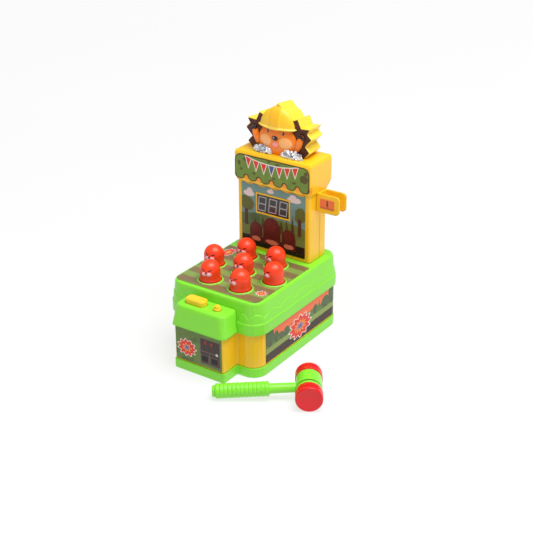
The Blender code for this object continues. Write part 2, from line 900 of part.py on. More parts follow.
def build_screw(name, place, seat, length, axis="Z"):
    """A pan-head screw whose head starts at a given place: up from below, or in from the rear."""
    profile = [
        (0, 0),
        (screw_head_radius * screw_head_flat_share, 0),
        (screw_head_radius, -screw_head_thickness * screw_head_round_share),
        (screw_head_radius, -screw_head_thickness),
        (screw_shank_radius, -screw_head_thickness),
        (screw_shank_radius, -length + screw_shank_radius),
        (0, -length),
    ]
    screw = turned(name, profile, segments=screw_segments)
    slot = block(name + "_slot", (-screw_slot_width / 2, -screw_head_radius, -screw_slot_depth),
                 (screw_slot_width / 2, screw_head_radius, cut_overrun), cutters)
    cut(screw, slot)
    if axis == "Z":
        turn = Matrix.Rotation(math.pi, 4, "X")
        spot = Vector((place[0], place[1], seat))
    else:
        turn = Matrix.Rotation(-math.pi / 2, 4, "X")
        spot = Vector((place[0], seat, place[1]))
    for item in (screw, slot):
        item.matrix_world = Matrix.Translation(spot) @ turn
    return finish_piece(screw, zinc, 0.3, 1.0)


def build_cells():
    for index, side in enumerate((-1, 0, 1)):
        half = cell_length / 2
        edge = cell_radius * cell_edge_share
        profile = [
            (0, half + cell_nub_height),
            (cell_nub_radius, half + cell_nub_height),
            (cell_nub_radius, half),
            (cell_radius - edge, half),
            (cell_radius, half - edge),
            (cell_radius, -half + edge),
            (cell_radius - edge, -half),
            (0, -half),
        ]
        height = door_lift + door_thickness + seat_gap + cell_radius
        cell = turned(f"battery_cell_{index + 1}", profile, (side * cell_pitch, bay_centre_y, height),
                      segments=round_segments, axis="Y")
        if side == 0:
            cell.rotation_euler = (-math.pi / 2, 0, 0)
        finish_piece(cell, near_black, 0.4)


def build_speaker():
    low = base_floor + seat_gap
    rim = low + speaker_rim
    top = low + speaker_height
    basket = (speaker_radius + speaker_magnet_radius) / 2
    neck = (rim + top) / 2
    speaker = turned("speaker", [
        (0, top),
        (speaker_magnet_radius, top),
        (speaker_magnet_radius, neck),
        (basket, neck),
        (speaker_radius, rim),
        (speaker_radius, low),
        (0, low),
    ], (0, speaker_y, 0))
    return finish_piece(speaker, near_black, 0.45, 0.3)


def build_lower_body():
    """Yellow wall of body and console, with a tongue at its top and bottom edges."""
    low = plinth_height + seat_gap
    high = skirt_height - seat_gap
    foot = low - tongue_height
    head = high + tongue_height
    inner = tongue_inset + tongue_wall
    body = loft("lower_body", [
        at_height(cabinet_plan(tongue_inset), foot),
        at_height(cabinet_plan(tongue_inset), low),
        at_height(cabinet_plan(body_inset), low),
        at_height(cabinet_plan(body_inset), high),
        at_height(cabinet_plan(tongue_inset), high),
        at_height(cabinet_plan(tongue_inset), head),
        at_height(cabinet_plan(inner), head),
        at_height(cabinet_plan(inner), foot),
    ], closed=True)
    wide = console_half_width + inner
    cut(body, block("tongue_break", (-wide, console_front_y - cut_overrun, high),
                    (wide, body_front_y + inner + cut_overrun, head + cut_overrun), cutters))
    cap_foot = skirt_height + cap_lap
    behind_cap = console_rear_y - moulded_wall - seat_gap
    for name, rear, top in (("console_rise", console_rear_y, cap_foot - seat_gap),
                            ("console_tongue", behind_cap, cap_foot + console_rise_lap)):
        join(body, loft(name, [
            at_height(console_wall_plan(rear), height) for height in (high - moulded_wall, top)
        ], collection=cutters))
    return finish_piece(body, yellow, 0.3)


def console_wall_plan(rear):
    """The console's wall seen from above, open towards the cabinet."""
    inner = tongue_inset + tongue_wall
    outer_half = console_half_width - body_inset
    inner_half = console_half_width - inner
    outer_radius = console_corner_radius - body_inset
    return rounded([
        (-outer_half, console_front_y + body_inset, outer_radius, small_corner_steps),
        (outer_half, console_front_y + body_inset, outer_radius, small_corner_steps),
        (outer_half, rear, 0, 0),
        (inner_half, rear, 0, 0),
        (inner_half, console_front_y + inner, 0, 0),
        (-inner_half, console_front_y + inner, 0, 0),
        (-inner_half, rear, 0, 0),
        (-outer_half, rear, 0, 0),
    ])


def wall_inset(height):
    """How far the housing's drafted upper wall stands in from the plinth at a given height."""
    foot = ridge_height + ridge_step / 2
    share = (height - foot) / (deck_height - deck_edge_radius - foot)
    return wall_upper_inset + upper_wall_draft * share


def wall_lengths():
    """Lengths of half the body's outline from its front middle: front, corner, side, corner, rear."""
    straight = base_half_width - body_corner_radius
    arc = body_corner_radius * math.pi / 2
    side = rear_y - body_front_y - 2 * body_corner_radius
    return straight, arc, side, arc, straight


def wall_place(distance):
    """Point and outward direction on the right half of the body's outline."""
    front, arc, side, _, _ = wall_lengths()
    middle_x = base_half_width - body_corner_radius
    if distance <= front:
        return Vector((distance, body_front_y)), Vector((0, -1))
    if distance <= front + arc:
        angle = (distance - front) / body_corner_radius
        out = Vector((math.sin(angle), -math.cos(angle)))
        return Vector((middle_x, body_front_y + body_corner_radius)) + out * body_corner_radius, out
    if distance <= front + arc + side:
        return Vector((base_half_width, body_front_y + body_corner_radius + distance - front - arc)), \
            Vector((1, 0))
    if distance < front + 2 * arc + side:
        angle = (distance - front - arc - side) / body_corner_radius
        out = Vector((math.cos(angle), math.sin(angle)))
        return Vector((middle_x, rear_y - body_corner_radius)) + out * body_corner_radius, out
    return Vector((middle_x - (distance - front - 2 * arc - side), rear_y)), Vector((0, 1))


def hump_line():
    """Distances and heights along the humps' upper edge, from the front middle to the rear middle."""
    last = sum(wall_lengths())
    wall = deck_height - deck_edge_radius - ridge_height
    valley = ridge_height + wall * hump_valley_share
    relief = wall * (hump_peak_share - hump_valley_share)
    ends = [front_hump_start, corner_hump_start]
    ends += [corner_hump_end + (last - corner_hump_end) * index / side_hump_count
             for index in range(side_hump_count + 1)]
    line = [(0.0, valley)]
    for start, end in zip(ends, ends[1:]):
        for step in range(hump_steps):
            rise = math.sin(math.pi * step / hump_steps)
            line.append((start + (end - start) * step / hump_steps,
                         valley + relief * rise))
    return line + [(last, valley)]


def hump_band():
    """Low relief round the wall above its ridge: a row of humps, left out behind the console's cap."""
    rings = [[], [], [], []]
    right = [wall_place(distance) + (height,) for distance, height in hump_line()]
    left = [(Vector((-point.x, point.y)), Vector((-out.x, out.y)), height)
            for point, out, height in reversed(right[1:-1])]
    low = ridge_height - hump_edge
    for point, out, height in right + left:
        for ring, inset, level in zip(
                rings,
                (wall_upper_inset - hump_relief, wall_inset(height) - hump_relief,
                 wall_inset(height) + hump_root, wall_upper_inset + hump_root),
                (low, height - hump_edge, height + hump_root + hump_relief - hump_edge, low)):
            spot = point - out * inset
            ring.append(Vector((spot.x, spot.y, level)))
    band = loft("wall_humps", rings, closed=True, collection=cutters)
    wide = console_half_width + cap_overhang
    cut(band, block("hump_break", (-wide, body_front_y - body_corner_radius, low - cut_overrun),
                    (wide, body_front_y + body_corner_radius, deck_height), cutters))
    return band


def housing_shell():
    top_flat = wall_top_inset + deck_edge_radius
    lower_inner = rim_inner_inset
    upper_inner = wall_upper_inset + moulded_wall
    top_inner = wall_top_inset + moulded_wall
    ledge = ridge_step / 2
    quarter = deck_edge_radius * quarter_share
    return loft("top_housing", [
        at_height(body_plan(top_flat), deck_height),
        at_height(body_plan(wall_top_inset + quarter), deck_height - quarter),
        at_height(body_plan(wall_top_inset), deck_height - deck_edge_radius),
        at_height(body_plan(wall_upper_inset), ridge_height + ledge),
        at_height(body_plan(skirt_inset + ledge / 2), ridge_height),
        at_height(body_plan(skirt_inset), ridge_height - ledge),
        at_height(body_plan(skirt_inset), skirt_height),
        at_height(body_plan(lower_inner), skirt_height),
        at_height(body_plan(lower_inner), ridge_height - ledge - moulded_wall),
        at_height(body_plan(upper_inner), ridge_height - ledge),
        at_height(body_plan(top_inner), deck_underside),
    ])


def build_top_housing():
    """Green cover: skirt, stepped wall and deck, with a raised lip at each hole."""
    housing = housing_shell()
    join(housing, hump_band())
    places = mole_places()
    inside = deck_height - moulded_wall / 2
    join(housing, rods("hole_lips", places, lip_radius, inside, deck_height + lip_height,
                       segments=hole_segments, end_radius=lip_radius - lip_width * lip_taper_share))
    join(housing, rods("base_bosses", screw_places(), screw_boss_radius,
                       screw_post_height + seat_gap, inside))
    join(housing, rods("frame_pegs", frame_peg_places(), frame_peg_radius, frame_top + seat_gap, inside))
    join(housing, rods("frame_pins", frame_peg_places(), peg_pin_radius,
                       frame_bottom - seat_gap - peg_head_thickness / 2, frame_top + frame_peg_radius))
    join(housing, rods("frame_pin_heads", frame_peg_places(), peg_head_radius,
                       frame_bottom - seat_gap - peg_head_thickness, frame_bottom - seat_gap))
    cut(housing, rods("mole_holes", places, mole_hole_radius, deck_underside - cut_overrun,
                      deck_height + lip_height + cut_overrun, segments=hole_segments))
    cut(housing, rods("boss_bores", screw_places(), screw_bore_radius,
                      screw_post_height - cut_overrun, screw_post_height + screw_bore_depth))
    wiring_low = skirt_height - cut_overrun
    cut(housing, block("wiring_way", (-wiring_half_width, body_front_y - cut_overrun, wiring_low),
                       (wiring_half_width, body_front_y + body_corner_radius, skirt_height + wiring_height),
                       cutters))
    cut(housing, rods("tower_peg_holes", tower_peg_places(), tower_peg_radius + seat_gap,
                      deck_underside - cut_overrun, deck_height + cut_overrun))
    return finish_piece(housing, green, 0.3)


def tower_peg_places():
    front = tower_front_y + tower_peg_inset
    rear = tower_rear_y - tower_peg_inset
    return [(side * tower_peg_x, y) for y in (front, rear) for side in (-1, 1)]


def cap_plan(inset, rear, radius=cap_corner_radius):
    """The console cap seen from above, measured inwards from its foot."""
    half = console_half_width + cap_overhang - inset
    front = console_front_y - cap_overhang + inset
    return rounded([
        (-half, front, radius, cap_corner_steps),
        (half, front, radius, cap_corner_steps),
        (half, rear, 0, 0),
        (-half, rear, 0, 0),
    ])


def wall_face_y(height):
    """Where the console cap's rear face stands, just clear of the housing's drafted wall."""
    return body_front_y + wall_inset(height) - seat_gap


def build_console_cap():
    """Green hood of the console; its rear edge follows the stepped housing wall."""
    low = skirt_height + cap_lap
    step_high = ridge_height + ridge_step / 2 + seat_gap
    shoulder = cap_height - cap_edge_radius
    at_step = cap_draft * (step_high - low) / (shoulder - low)
    quarter = cap_edge_radius * quarter_share
    inner_rear = console_rear_y - moulded_wall
    ledge = step_high + moulded_wall
    top_radius = cap_corner_radius - cap_edge_radius
    inner_radius = console_corner_radius - body_inset
    cap = loft("console_cap", [
        at_height(cap_plan(cap_draft + cap_edge_radius, wall_face_y(cap_height), top_radius), cap_height),
        at_height(cap_plan(cap_draft + quarter, wall_face_y(cap_height), cap_corner_radius - quarter),
                  cap_height - quarter),
        at_height(cap_plan(cap_draft, wall_face_y(shoulder)), shoulder),
        at_height(cap_plan(at_step, wall_face_y(step_high)), step_high),
        at_height(cap_plan(at_step, console_rear_y), step_high - seat_gap),
        at_height(cap_plan(0, console_rear_y), low),
        at_height(cap_plan(cap_foot_wall, inner_rear, inner_radius), low),
        at_height(cap_plan(cap_foot_wall, inner_rear, inner_radius), low + console_rise_lap),
        at_height(cap_plan(at_step + cap_wall, inner_rear, inner_radius), ledge),
        at_height(cap_plan(at_step + cap_wall, wall_face_y(ledge) - moulded_wall, inner_radius),
                  ledge + seat_gap),
        at_height(cap_plan(cap_draft + cap_wall, wall_face_y(ledge) - moulded_wall, inner_radius),
                  cap_underside),
    ])
    wiring_top = skirt_height + wiring_height
    cut(cap, block("cap_wiring_way", (-wiring_half_width, inner_rear - cut_overrun, low - cut_overrun),
                   (wiring_half_width, body_front_y, wiring_top), cutters))
    inside = cap_height - moulded_wall / 2
    pegs = [(-console_peg_x, button_row_y), (console_peg_x, button_row_y)]
    head_top = console_board_bottom - seat_gap
    join(cap, rods("console_pegs", pegs, console_peg_radius, console_board_top + seat_gap, inside))
    join(cap, rods("console_pins", pegs, console_pin_radius, head_top - console_head_thickness / 2,
                   console_board_top + console_peg_radius))
    join(cap, rods("console_pin_heads", pegs, console_head_radius, head_top - console_head_thickness,
                   head_top))
    cut(cap, loft("start_hole", [
        at_height(start_plan(-button_clearance), height)
        for height in (cap_underside - cut_overrun, cap_height + cut_overrun)
    ], collection=cutters))
    cut(cap, rods("select_hole", [(select_x, button_row_y)], select_radius + button_clearance,
                  cap_underside - cut_overrun, cap_height + cut_overrun, segments=round_segments))
    return finish_piece(cap, green, 0.3)


def start_plan(inset):
    half_width = start_width / 2 - inset
    half_depth = start_depth / 2 - inset
    return rectangle((start_x - half_width, button_row_y - half_depth),
                     (start_x + half_width, button_row_y + half_depth),
                     start_corner_radius - inset, cap_corner_steps)


def build_start_button():
    """Hollow yellow key with a stop flange and a post that meets its switch."""
    top = cap_height + start_rise
    flange_top = cap_underside - seat_gap
    flange_low = flange_top - button_flange_thickness
    quarter = start_edge_radius * quarter_share
    ceiling = top - start_roof
    key = loft("start_button", [
        at_height(start_plan(start_edge_radius), top),
        at_height(start_plan(quarter), top - quarter),
        at_height(start_plan(0), top - start_edge_radius),
        at_height(start_plan(0), flange_top),
        at_height(start_plan(-button_flange), flange_top),
        at_height(start_plan(-button_flange), flange_low),
        at_height(start_plan(start_wall), flange_low),
        at_height(start_plan(start_wall), ceiling),
    ])
    join(key, rods("start_post", [(start_x, button_row_y)], start_post_radius,
                   top - start_post_length, ceiling + start_wall))
    return finish_piece(key, yellow, 0.25)


def build_select_button():
    top = cap_height + select_rise
    flange_top = cap_underside - seat_gap
    flange_low = flange_top - button_flange_thickness
    collar = cap_height + select_collar_rise
    profile = [(select_knob_radius * out, top - select_dome * down) for out, down in select_dome_shares]
    profile += [
        (select_knob_radius, collar),
        (select_radius - select_collar_edge, collar),
        (select_radius, collar - select_collar_edge),
        (select_radius, flange_top),
        (select_radius + button_flange, flange_top),
        (select_radius + button_flange, flange_low),
        (start_post_radius, flange_low),
        (start_post_radius, flange_top - select_stem_length),
        (0, flange_top - select_stem_length),
    ]
    button = turned("select_button", profile, (select_x, button_row_y, 0), segments=round_segments)
    return finish_piece(button, yellow, 0.25)


def build_console_board():
    """Circuit board under the console cap, with one switch below each button."""
    half_depth = console_board_depth / 2
    board = block("console_board",
                  (-console_board_half_width, button_row_y - half_depth, console_board_bottom),
                  (console_board_half_width, button_row_y + half_depth, console_board_top))
    switches = [(start_x, button_row_y), (select_x, button_row_y)]
    join(board, rods("console_switches", switches, console_switch_radius, console_board_bottom
                     + console_board_thickness / 2, console_board_top + console_switch_height))
    pegs = [(-console_peg_x, button_row_y), (console_peg_x, button_row_y)]
    cut(board, rods("console_pin_holes", pegs, console_pin_radius + peg_pin_clearance,
                    console_board_bottom - cut_overrun, console_board_top + cut_overrun))
    return finish_piece(board, board_green, 0.45)


def build_moles():
    """Seven hollow plungers: dome, flared foot, stop flange, post and stem."""
    flange_low = mole_flange_top - mole_flange_thickness
    dome_centre = mole_top - mole_radius
    inner_radius = mole_radius - mole_wall
    knee_out, knee_up = flare_knee_shares
    profile = [(0, mole_top)]
    for step in range(1, dome_steps + 1):
        angle = math.pi / 2 * step / dome_steps
        profile.append((mole_radius * math.sin(angle), dome_centre + mole_radius * math.cos(angle)))
    profile += [
        (mole_radius, deck_height + mole_flare_height),
        (mole_radius + mole_foot_flare * knee_out, deck_height + mole_flare_height * knee_up),
        (mole_radius + mole_foot_flare, deck_height),
        (mole_radius + mole_foot_flare, mole_flange_top),
        (mole_flange_radius, mole_flange_top),
        (mole_flange_radius, flange_low),
        (inner_radius, flange_low),
        (inner_radius, dome_centre),
        (post_radius, dome_centre + inner_radius * mole_cavity_roof_share),
        (post_radius, post_end),
        (stem_radius, post_end),
        (stem_radius, stem_tip),
        (0, stem_tip),
    ]
    for index, (x, y) in enumerate(mole_places()):
        name = f"mole_{index + 1}"
        empty = joint_empty(name + "_slide", (x, y, deck_height))
        mole = turned(name, profile, parent=empty)
        mole.location = (0, 0, -deck_height)
        finish_piece(mole, mole_red, 0.18)
        low = sleeve_top + seat_gap
        spring = coil(f"mole_spring_{index + 1}", (x, y), mole_spring_radius, mole_spring_wire,
                      low, post_end - seat_gap)
        finish_piece(spring, spring_steel, 0.3, 1.0)


def build_mole_frame():
    """Plate under the deck with a guide sleeve for the stem of each mole."""
    front = mole_field_y - row_pitch - frame_margin
    rear = mole_field_y + row_pitch + frame_margin
    frame = loft("mole_frame", [
        at_height(rectangle((-frame_half_width, front), (frame_half_width, rear), frame_peg_radius), height)
        for height in (frame_bottom, frame_top)
    ])
    places = mole_places()
    bore = stem_radius + stem_clearance
    middle = (frame_bottom + frame_top) / 2
    join(frame, rods("stem_sleeves", places, bore + sleeve_wall, frame_bottom - sleeve_below, sleeve_top,
                     segments=screw_segments))
    join(frame, rods("board_pegs", board_peg_places(), frame_peg_radius, board_top + seat_gap, middle))
    join(frame, rods("board_pins", board_peg_places(), peg_pin_radius,
                     board_bottom - seat_gap - peg_head_thickness / 2, board_top + frame_peg_radius))
    join(frame, rods("board_pin_heads", board_peg_places(), peg_head_radius,
                     board_bottom - seat_gap - peg_head_thickness, board_bottom - seat_gap))
    cut(frame, rods("stem_bores", places, bore, frame_bottom - sleeve_below - cut_overrun,
                    sleeve_top + cut_overrun, segments=screw_segments))
    cut(frame, rods("frame_peg_holes", frame_peg_places(), peg_pin_radius + peg_pin_clearance,
                    frame_bottom - cut_overrun, frame_top + cut_overrun))
    return finish_piece(frame, natural_white, 0.5)


def build_mole_board():
    """Circuit board with a switch under the stem of each mole."""
    half_width = frame_half_width - board_margin
    front = mole_field_y - row_pitch - frame_margin + board_margin
    rear = mole_field_y + row_pitch + frame_margin - board_margin
    board = block("mole_board", (-half_width, front, board_bottom), (half_width, rear, board_top))
    join(board, rods("mole_switches", mole_places(), switch_radius, board_bottom + board_thickness / 2,
                     board_top + switch_height))
    cut(board, rods("board_pin_holes", board_peg_places(), peg_pin_radius + peg_pin_clearance,
                    board_bottom - cut_overrun, board_top + cut_overrun))
    return finish_piece(board, board_green, 0.45)


def tower_plan(inset):
    half = tower_half_width - inset
    return rectangle((-half, tower_front_y + inset), (half, tower_rear_y - inset),
                     max(tower_corner_radius - inset, edge_radius), tower_corner_steps)


def tower_blank(name):
    return loft(name, [
        at_height(tower_plan(0), tower_bottom),
        at_height(tower_plan(0), tower_top),
    ])


def hollow_tower(shell, suffix):
    cut(shell, loft("tower_space_" + suffix, [
        at_height(tower_plan(moulded_wall), height)
        for height in (tower_bottom + moulded_wall, tower_top - moulded_wall)
    ], collection=cutters))


def clip_peg_places():
    """Y and Z of the two pegs that fasten the mallet clip to the tower's side."""
    width = 2 * clip_plate + clip_slot
    middle = (clip_bottom + clip_top) / 2
    return [(clip_front_y + clip_peg_inset, middle), (clip_front_y + width - clip_peg_inset, middle)]


def tower_screw_places():
    """Where the two screws stand that hold the tower's halves together, as x and height."""
    height = display_height - tower_screw_drop
    return [(-tower_screw_x, height), (tower_screw_x, height)]


def build_tower_front():
    """Front half of the tower, with the display opening inside a raised frame."""
    shell = tower_blank("tower_front")
    hollow_tower(shell, "front")
    wide = tower_half_width + cut_overrun
    high = tower_top + cut_overrun
    split = tower_split_y - seat_gap / 2
    cut(shell, block("rear_half", (-wide, split, tower_bottom - cut_overrun),
                     (wide, tower_rear_y + cut_overrun, high), cutters))
    inner_y = tower_wall_inner_y
    half_wall = moulded_wall / 2
    join(shell, block("display_bezel",
                      (-bezel_half_width, tower_front_y - bezel_rise, display_height - bezel_half_height),
                      (bezel_half_width, inner_y - half_wall, display_height + bezel_half_height), cutters))
    join(shell, rods("front_bosses", tower_screw_places(), tower_boss_radius, inner_y - half_wall,
                     split, "Y"))
    boards = display_peg_places()
    stack = digit_stack()
    join(shell, rods("display_pegs", boards, display_peg_radius, inner_y - half_wall,
                     stack[1] - seat_gap, "Y"))
    join(shell, rods("display_pins", boards, console_pin_radius, inner_y,
                     stack[2] + seat_gap + console_head_thickness / 2, "Y"))
    join(shell, rods("display_pin_heads", boards, display_peg_radius, stack[2] + seat_gap,
                     stack[2] + seat_gap + console_head_thickness, "Y"))
    front_pegs = [place for place in tower_peg_places() if place[1] < split]
    join(shell, rods("front_pegs", front_pegs, tower_peg_radius, tower_bottom - tower_peg_length,
                     tower_bottom + half_wall))
    cut(shell, block("display_opening",
                     (-window_half_width, tower_front_y - bezel_rise - cut_overrun,
                      display_height - window_half_height),
                     (window_half_width, inner_y + cut_overrun, display_height + window_half_height),
                     cutters))
    cut(shell, rods("front_boss_bores", tower_screw_places(), screw_bore_radius,
                    split - screw_bore_depth, split + cut_overrun, "Y"))
    cut(shell, rods("front_clip_hole", clip_peg_places()[:1], clip_peg_radius + seat_gap,
                    tower_half_width - moulded_wall - cut_overrun, tower_half_width + cut_overrun, "X"))
    return finish_piece(shell, yellow, 0.3)


def build_tower_rear():
    """Rear half of the tower, with two deep recesses for its screws."""
    shell = tower_blank("tower_rear")
    hollow_tower(shell, "rear")
    wide = tower_half_width + cut_overrun
    high = tower_top + cut_overrun
    split = tower_split_y + seat_gap / 2
    cut(shell, block("front_half", (-wide, tower_front_y - cut_overrun, tower_bottom - cut_overrun),
                     (wide, split, high), cutters))
    half_wall = moulded_wall / 2
    join(shell, rods("rear_bosses", tower_screw_places(), tower_boss_radius, split,
                     tower_rear_y - half_wall, "Y"))
    rear_pegs = [place for place in tower_peg_places() if place[1] > split]
    join(shell, rods("rear_pegs", rear_pegs, tower_peg_radius, tower_bottom - tower_peg_length,
                     tower_bottom + half_wall))
    cut(shell, rods("rear_recesses", tower_screw_places(), screw_recess_radius,
                    tower_rear_y - tower_recess_depth, tower_rear_y + cut_overrun, "Y"))
    cut(shell, rods("rear_screw_holes", tower_screw_places(), screw_hole_radius, split - cut_overrun,
                    tower_rear_y - tower_recess_depth + cut_overrun, "Y"))
    cut(shell, rods("rear_clip_hole", clip_peg_places()[1:], clip_peg_radius + seat_gap,
                    tower_half_width - moulded_wall - cut_overrun, tower_half_width + cut_overrun, "X"))
    cut(shell, rods("tower_crown_holes", crown_peg_places(), crown_peg_radius + seat_gap,
                    tower_top - moulded_wall - cut_overrun, tower_top + cut_overrun))
    return finish_piece(shell, yellow, 0.3)


def display_peg_places():
    return [(side * display_peg_x, display_height + end * display_peg_height)
            for end in (-1, 1) for side in (-1, 1)]


def digit_stack():
    """Depths of the display, front to rear: block front, board front, board rear."""
    block_front = tower_wall_inner_y + window_flange_thickness + 2 * seat_gap
    board_front = block_front + digit_block_depth
    return block_front, board_front, board_front + console_board_thickness


def build_display():
    """Dark window in the tower's opening, and the three-digit module behind it."""
    fit_width = window_half_width - seat_gap
    fit_height = window_half_height - seat_gap
    window = block("display_window",
                   (-fit_width, tower_front_y - bezel_rise + window_recess, display_height - fit_height),
                   (fit_width, tower_wall_inner_y + window_flange_thickness, display_height + fit_height))
    flange = block("window_flange",
                   (-window_half_width - window_flange, tower_wall_inner_y + seat_gap,
                    display_height - window_half_height - window_flange),
                   (window_half_width + window_flange, tower_wall_inner_y + window_flange_thickness,
                    display_height + window_half_height + window_flange), cutters)
    join(window, flange)
    finish_piece(window, near_black, 0.12, alpha=0.6)
    block_front, board_front, board_rear = digit_stack()
    board = block("display_module",
                  (-display_board_half_width, board_front, display_height - display_board_half_height),
                  (display_board_half_width, board_rear, display_height + display_board_half_height))
    join(board, block("digit_block",
                      (-digit_block_half_width, block_front, display_height - digit_block_half_height),
                      (digit_block_half_width, board_front + console_board_thickness / 2,
                       display_height + digit_block_half_height), cutters))
    cut(board, rods("display_pin_holes", display_peg_places(), console_pin_radius + peg_pin_clearance,
                    board_front - cut_overrun, board_rear + cut_overrun, "Y"))
    finish_piece(board, board_green, 0.45)


def awning_plan(inset):
    half = awning_half_width - inset
    front = max(awning_front_radius - inset, edge_radius)
    rear = max(awning_rear_radius - inset, edge_radius)
    return rounded([
        (-half, awning_front_y + inset, front, tower_corner_steps),
        (half, awning_front_y + inset, front, tower_corner_steps),
        (half, awning_rear_y - inset, rear, tower_corner_steps),
        (-half, awning_rear_y - inset, rear, tower_corner_steps),
    ])


def neck_plan(offset):
    half = tower_half_width + offset
    return rectangle((-half, tower_front_y - offset), (half, tower_rear_y + offset),
                     tower_corner_radius + offset, tower_corner_steps)


def arch(centre, height, half_width, rise, turn=1):
    """Half an ellipse in X and Z from left to right: a hump, or with turn -1 a round lobe."""
    points = []
    for step in range(lobe_steps + 1):
        angle = math.pi * step / lobe_steps
        points.append(Vector((centre - half_width * math.cos(angle),
                              height + turn * rise * math.sin(angle))))
    return points


def notch_places():
    middle = (notch_count - 1) / 2
    return [(index - middle) * lobe_pitch for index in range(notch_count)]


def awning_print_outline():
    """The awning label in X and Z: rounded above, with hanging lobes parted by arched notches."""
    half = awning_half_width - awning_label_margin
    points = []
    left = -half
    for place in notch_places() + [half + notch_half_width]:
        right = place - notch_half_width
        points += arch((left + right) / 2, lobe_middle, (right - left) / 2, lobe_drop, -1)
        if place < half:
            points += arch(place, lobe_middle, notch_half_width, notch_rise)[1:-1]
            left = place + notch_half_width
    upper = rounded([
        (-half, lobe_middle, 0, 0),
        (half, lobe_middle, 0, 0),
        (half, awning_label_top, awning_label_corner_radius, corner_steps),
        (-half, awning_label_top, awning_label_corner_radius, corner_steps),
    ])
    return points + upper[2:]


def valance_outline():
    """The valance in X and Z: one lobe below each notch of the print."""
    height = valance_bottom + valance_drop
    half = notch_count * lobe_pitch / 2
    points = [Vector((-half, height))]
    for place in notch_places():
        points += arch(place, height, lobe_pitch / 2, valance_drop, -1)[1:]
    return points + [Vector((half, valance_top)), Vector((-half, valance_top))]


def build_awning_hood():
    """Yellow hood over the tower top, with a scalloped valance along its front."""
    quarter = awning_edge_radius * quarter_share
    hood = loft("awning_hood", [
        at_height(awning_plan(awning_edge_radius), awning_top),
        at_height(awning_plan(quarter), awning_top - quarter),
        at_height(awning_plan(0), awning_top - awning_edge_radius),
        at_height(awning_plan(0), awning_side_bottom),
        at_height(neck_plan(seat_gap + awning_neck_wall), awning_neck_bottom),
        at_height(neck_plan(seat_gap), awning_neck_bottom),
        at_height(neck_plan(seat_gap), awning_side_bottom - seat_gap),
        at_height(neck_plan(seat_gap), tower_top + seat_gap),
    ])
    front = awning_front_y
    outline = valance_outline()
    join(hood, loft("valance", [at_depth(outline, front), at_depth(outline, front + valance_thickness)],
                    collection=cutters))
    cut(hood, rods("hood_crown_holes", crown_peg_places(), crown_peg_radius + seat_gap,
                   tower_top - cut_overrun, awning_top + cut_overrun))
    clip_rear_y = clip_front_y + 2 * clip_plate + clip_slot
    cut(hood, block("clip_notch",
                    (tower_half_width, clip_front_y - seat_gap, awning_neck_bottom - cut_overrun),
                    (awning_half_width + cut_overrun, clip_rear_y + seat_gap, clip_top + seat_gap), cutters))
    return finish_piece(hood, yellow, 0.3)


def build_labels():
    """Printed labels as thin plates on the faces that carry them."""
    places = mole_places()
    deck_half = base_half_width - wall_top_inset - deck_edge_radius - deck_label_side_margin
    deck_front = body_front_y + wall_top_inset + deck_edge_radius + deck_label_front_margin
    outline = rounded([
        (-deck_half, deck_front, deck_label_corner_radius, corner_steps),
        (deck_half, deck_front, deck_label_corner_radius, corner_steps),
        (deck_half, deck_label_rear_y, edge_radius, tip_steps),
        (-deck_half, deck_label_rear_y, edge_radius, tip_steps),
    ])
    low = deck_height + label_gap
    deck = loft("deck_label", [at_height(outline, low), at_height(outline, low + label_thickness)])
    cut(deck, rods("label_holes", places, lip_radius + print_clearance, low - cut_overrun,
                   low + label_thickness + cut_overrun, segments=hole_segments))
    finish_piece(deck, label_green, 0.4)

    for name, side in (("side_label_left", -1), ("side_label_right", 1)):
        finish_piece(side_strip(name, side), label_orange, 0.4)

    tip = console_front_y + body_inset - label_gap
    console_low = plinth_height + seat_gap + console_label_margin
    console = block("console_label", (-console_label_left, tip - label_thickness, console_low),
                    (console_label_right, tip, console_low + console_label_height))
    finish_piece(console, label_green, 0.4)

    front = tower_front_y - label_gap
    screen_outline = rectangle((-screen_label_half_width, deck_height + screen_label_foot),
                               (screen_label_half_width, awning_neck_bottom - screen_label_head),
                               screen_label_corner_radius, tip_steps)
    screen = loft("screen_label", [
        at_depth(screen_outline, front), at_depth(screen_outline, front - label_thickness)])
    frame_clearance = print_clearance
    cut(screen, block("bezel_hole",
                      (-bezel_half_width - frame_clearance, front - label_thickness - cut_overrun,
                       display_height - bezel_half_height - frame_clearance),
                      (bezel_half_width + frame_clearance, front + cut_overrun,
                       display_height + bezel_half_height + frame_clearance), cutters))
    finish_piece(screen, screen_blue, 0.4)

    awning_outline = awning_print_outline()
    front = awning_front_y - label_gap
    awning = loft("awning_label", [
        at_depth(awning_outline, front), at_depth(awning_outline, front - label_thickness)])
    finish_piece(awning, label_green, 0.4)

    left = tower_half_width + clip_reach - clip_label_offset
    middle = (clip_bottom + clip_top) / 2
    clip_outline = rectangle((left - clip_label_width / 2, middle - clip_label_height / 2),
                             (left + clip_label_width / 2, middle + clip_label_height / 2),
                             clip_label_corner_radius, tip_steps)
    front = clip_front_y - label_gap
    clip = loft("clip_label", [
        at_depth(clip_outline, front), at_depth(clip_outline, front - label_thickness)])
    finish_piece(clip, label_orange, 0.4)


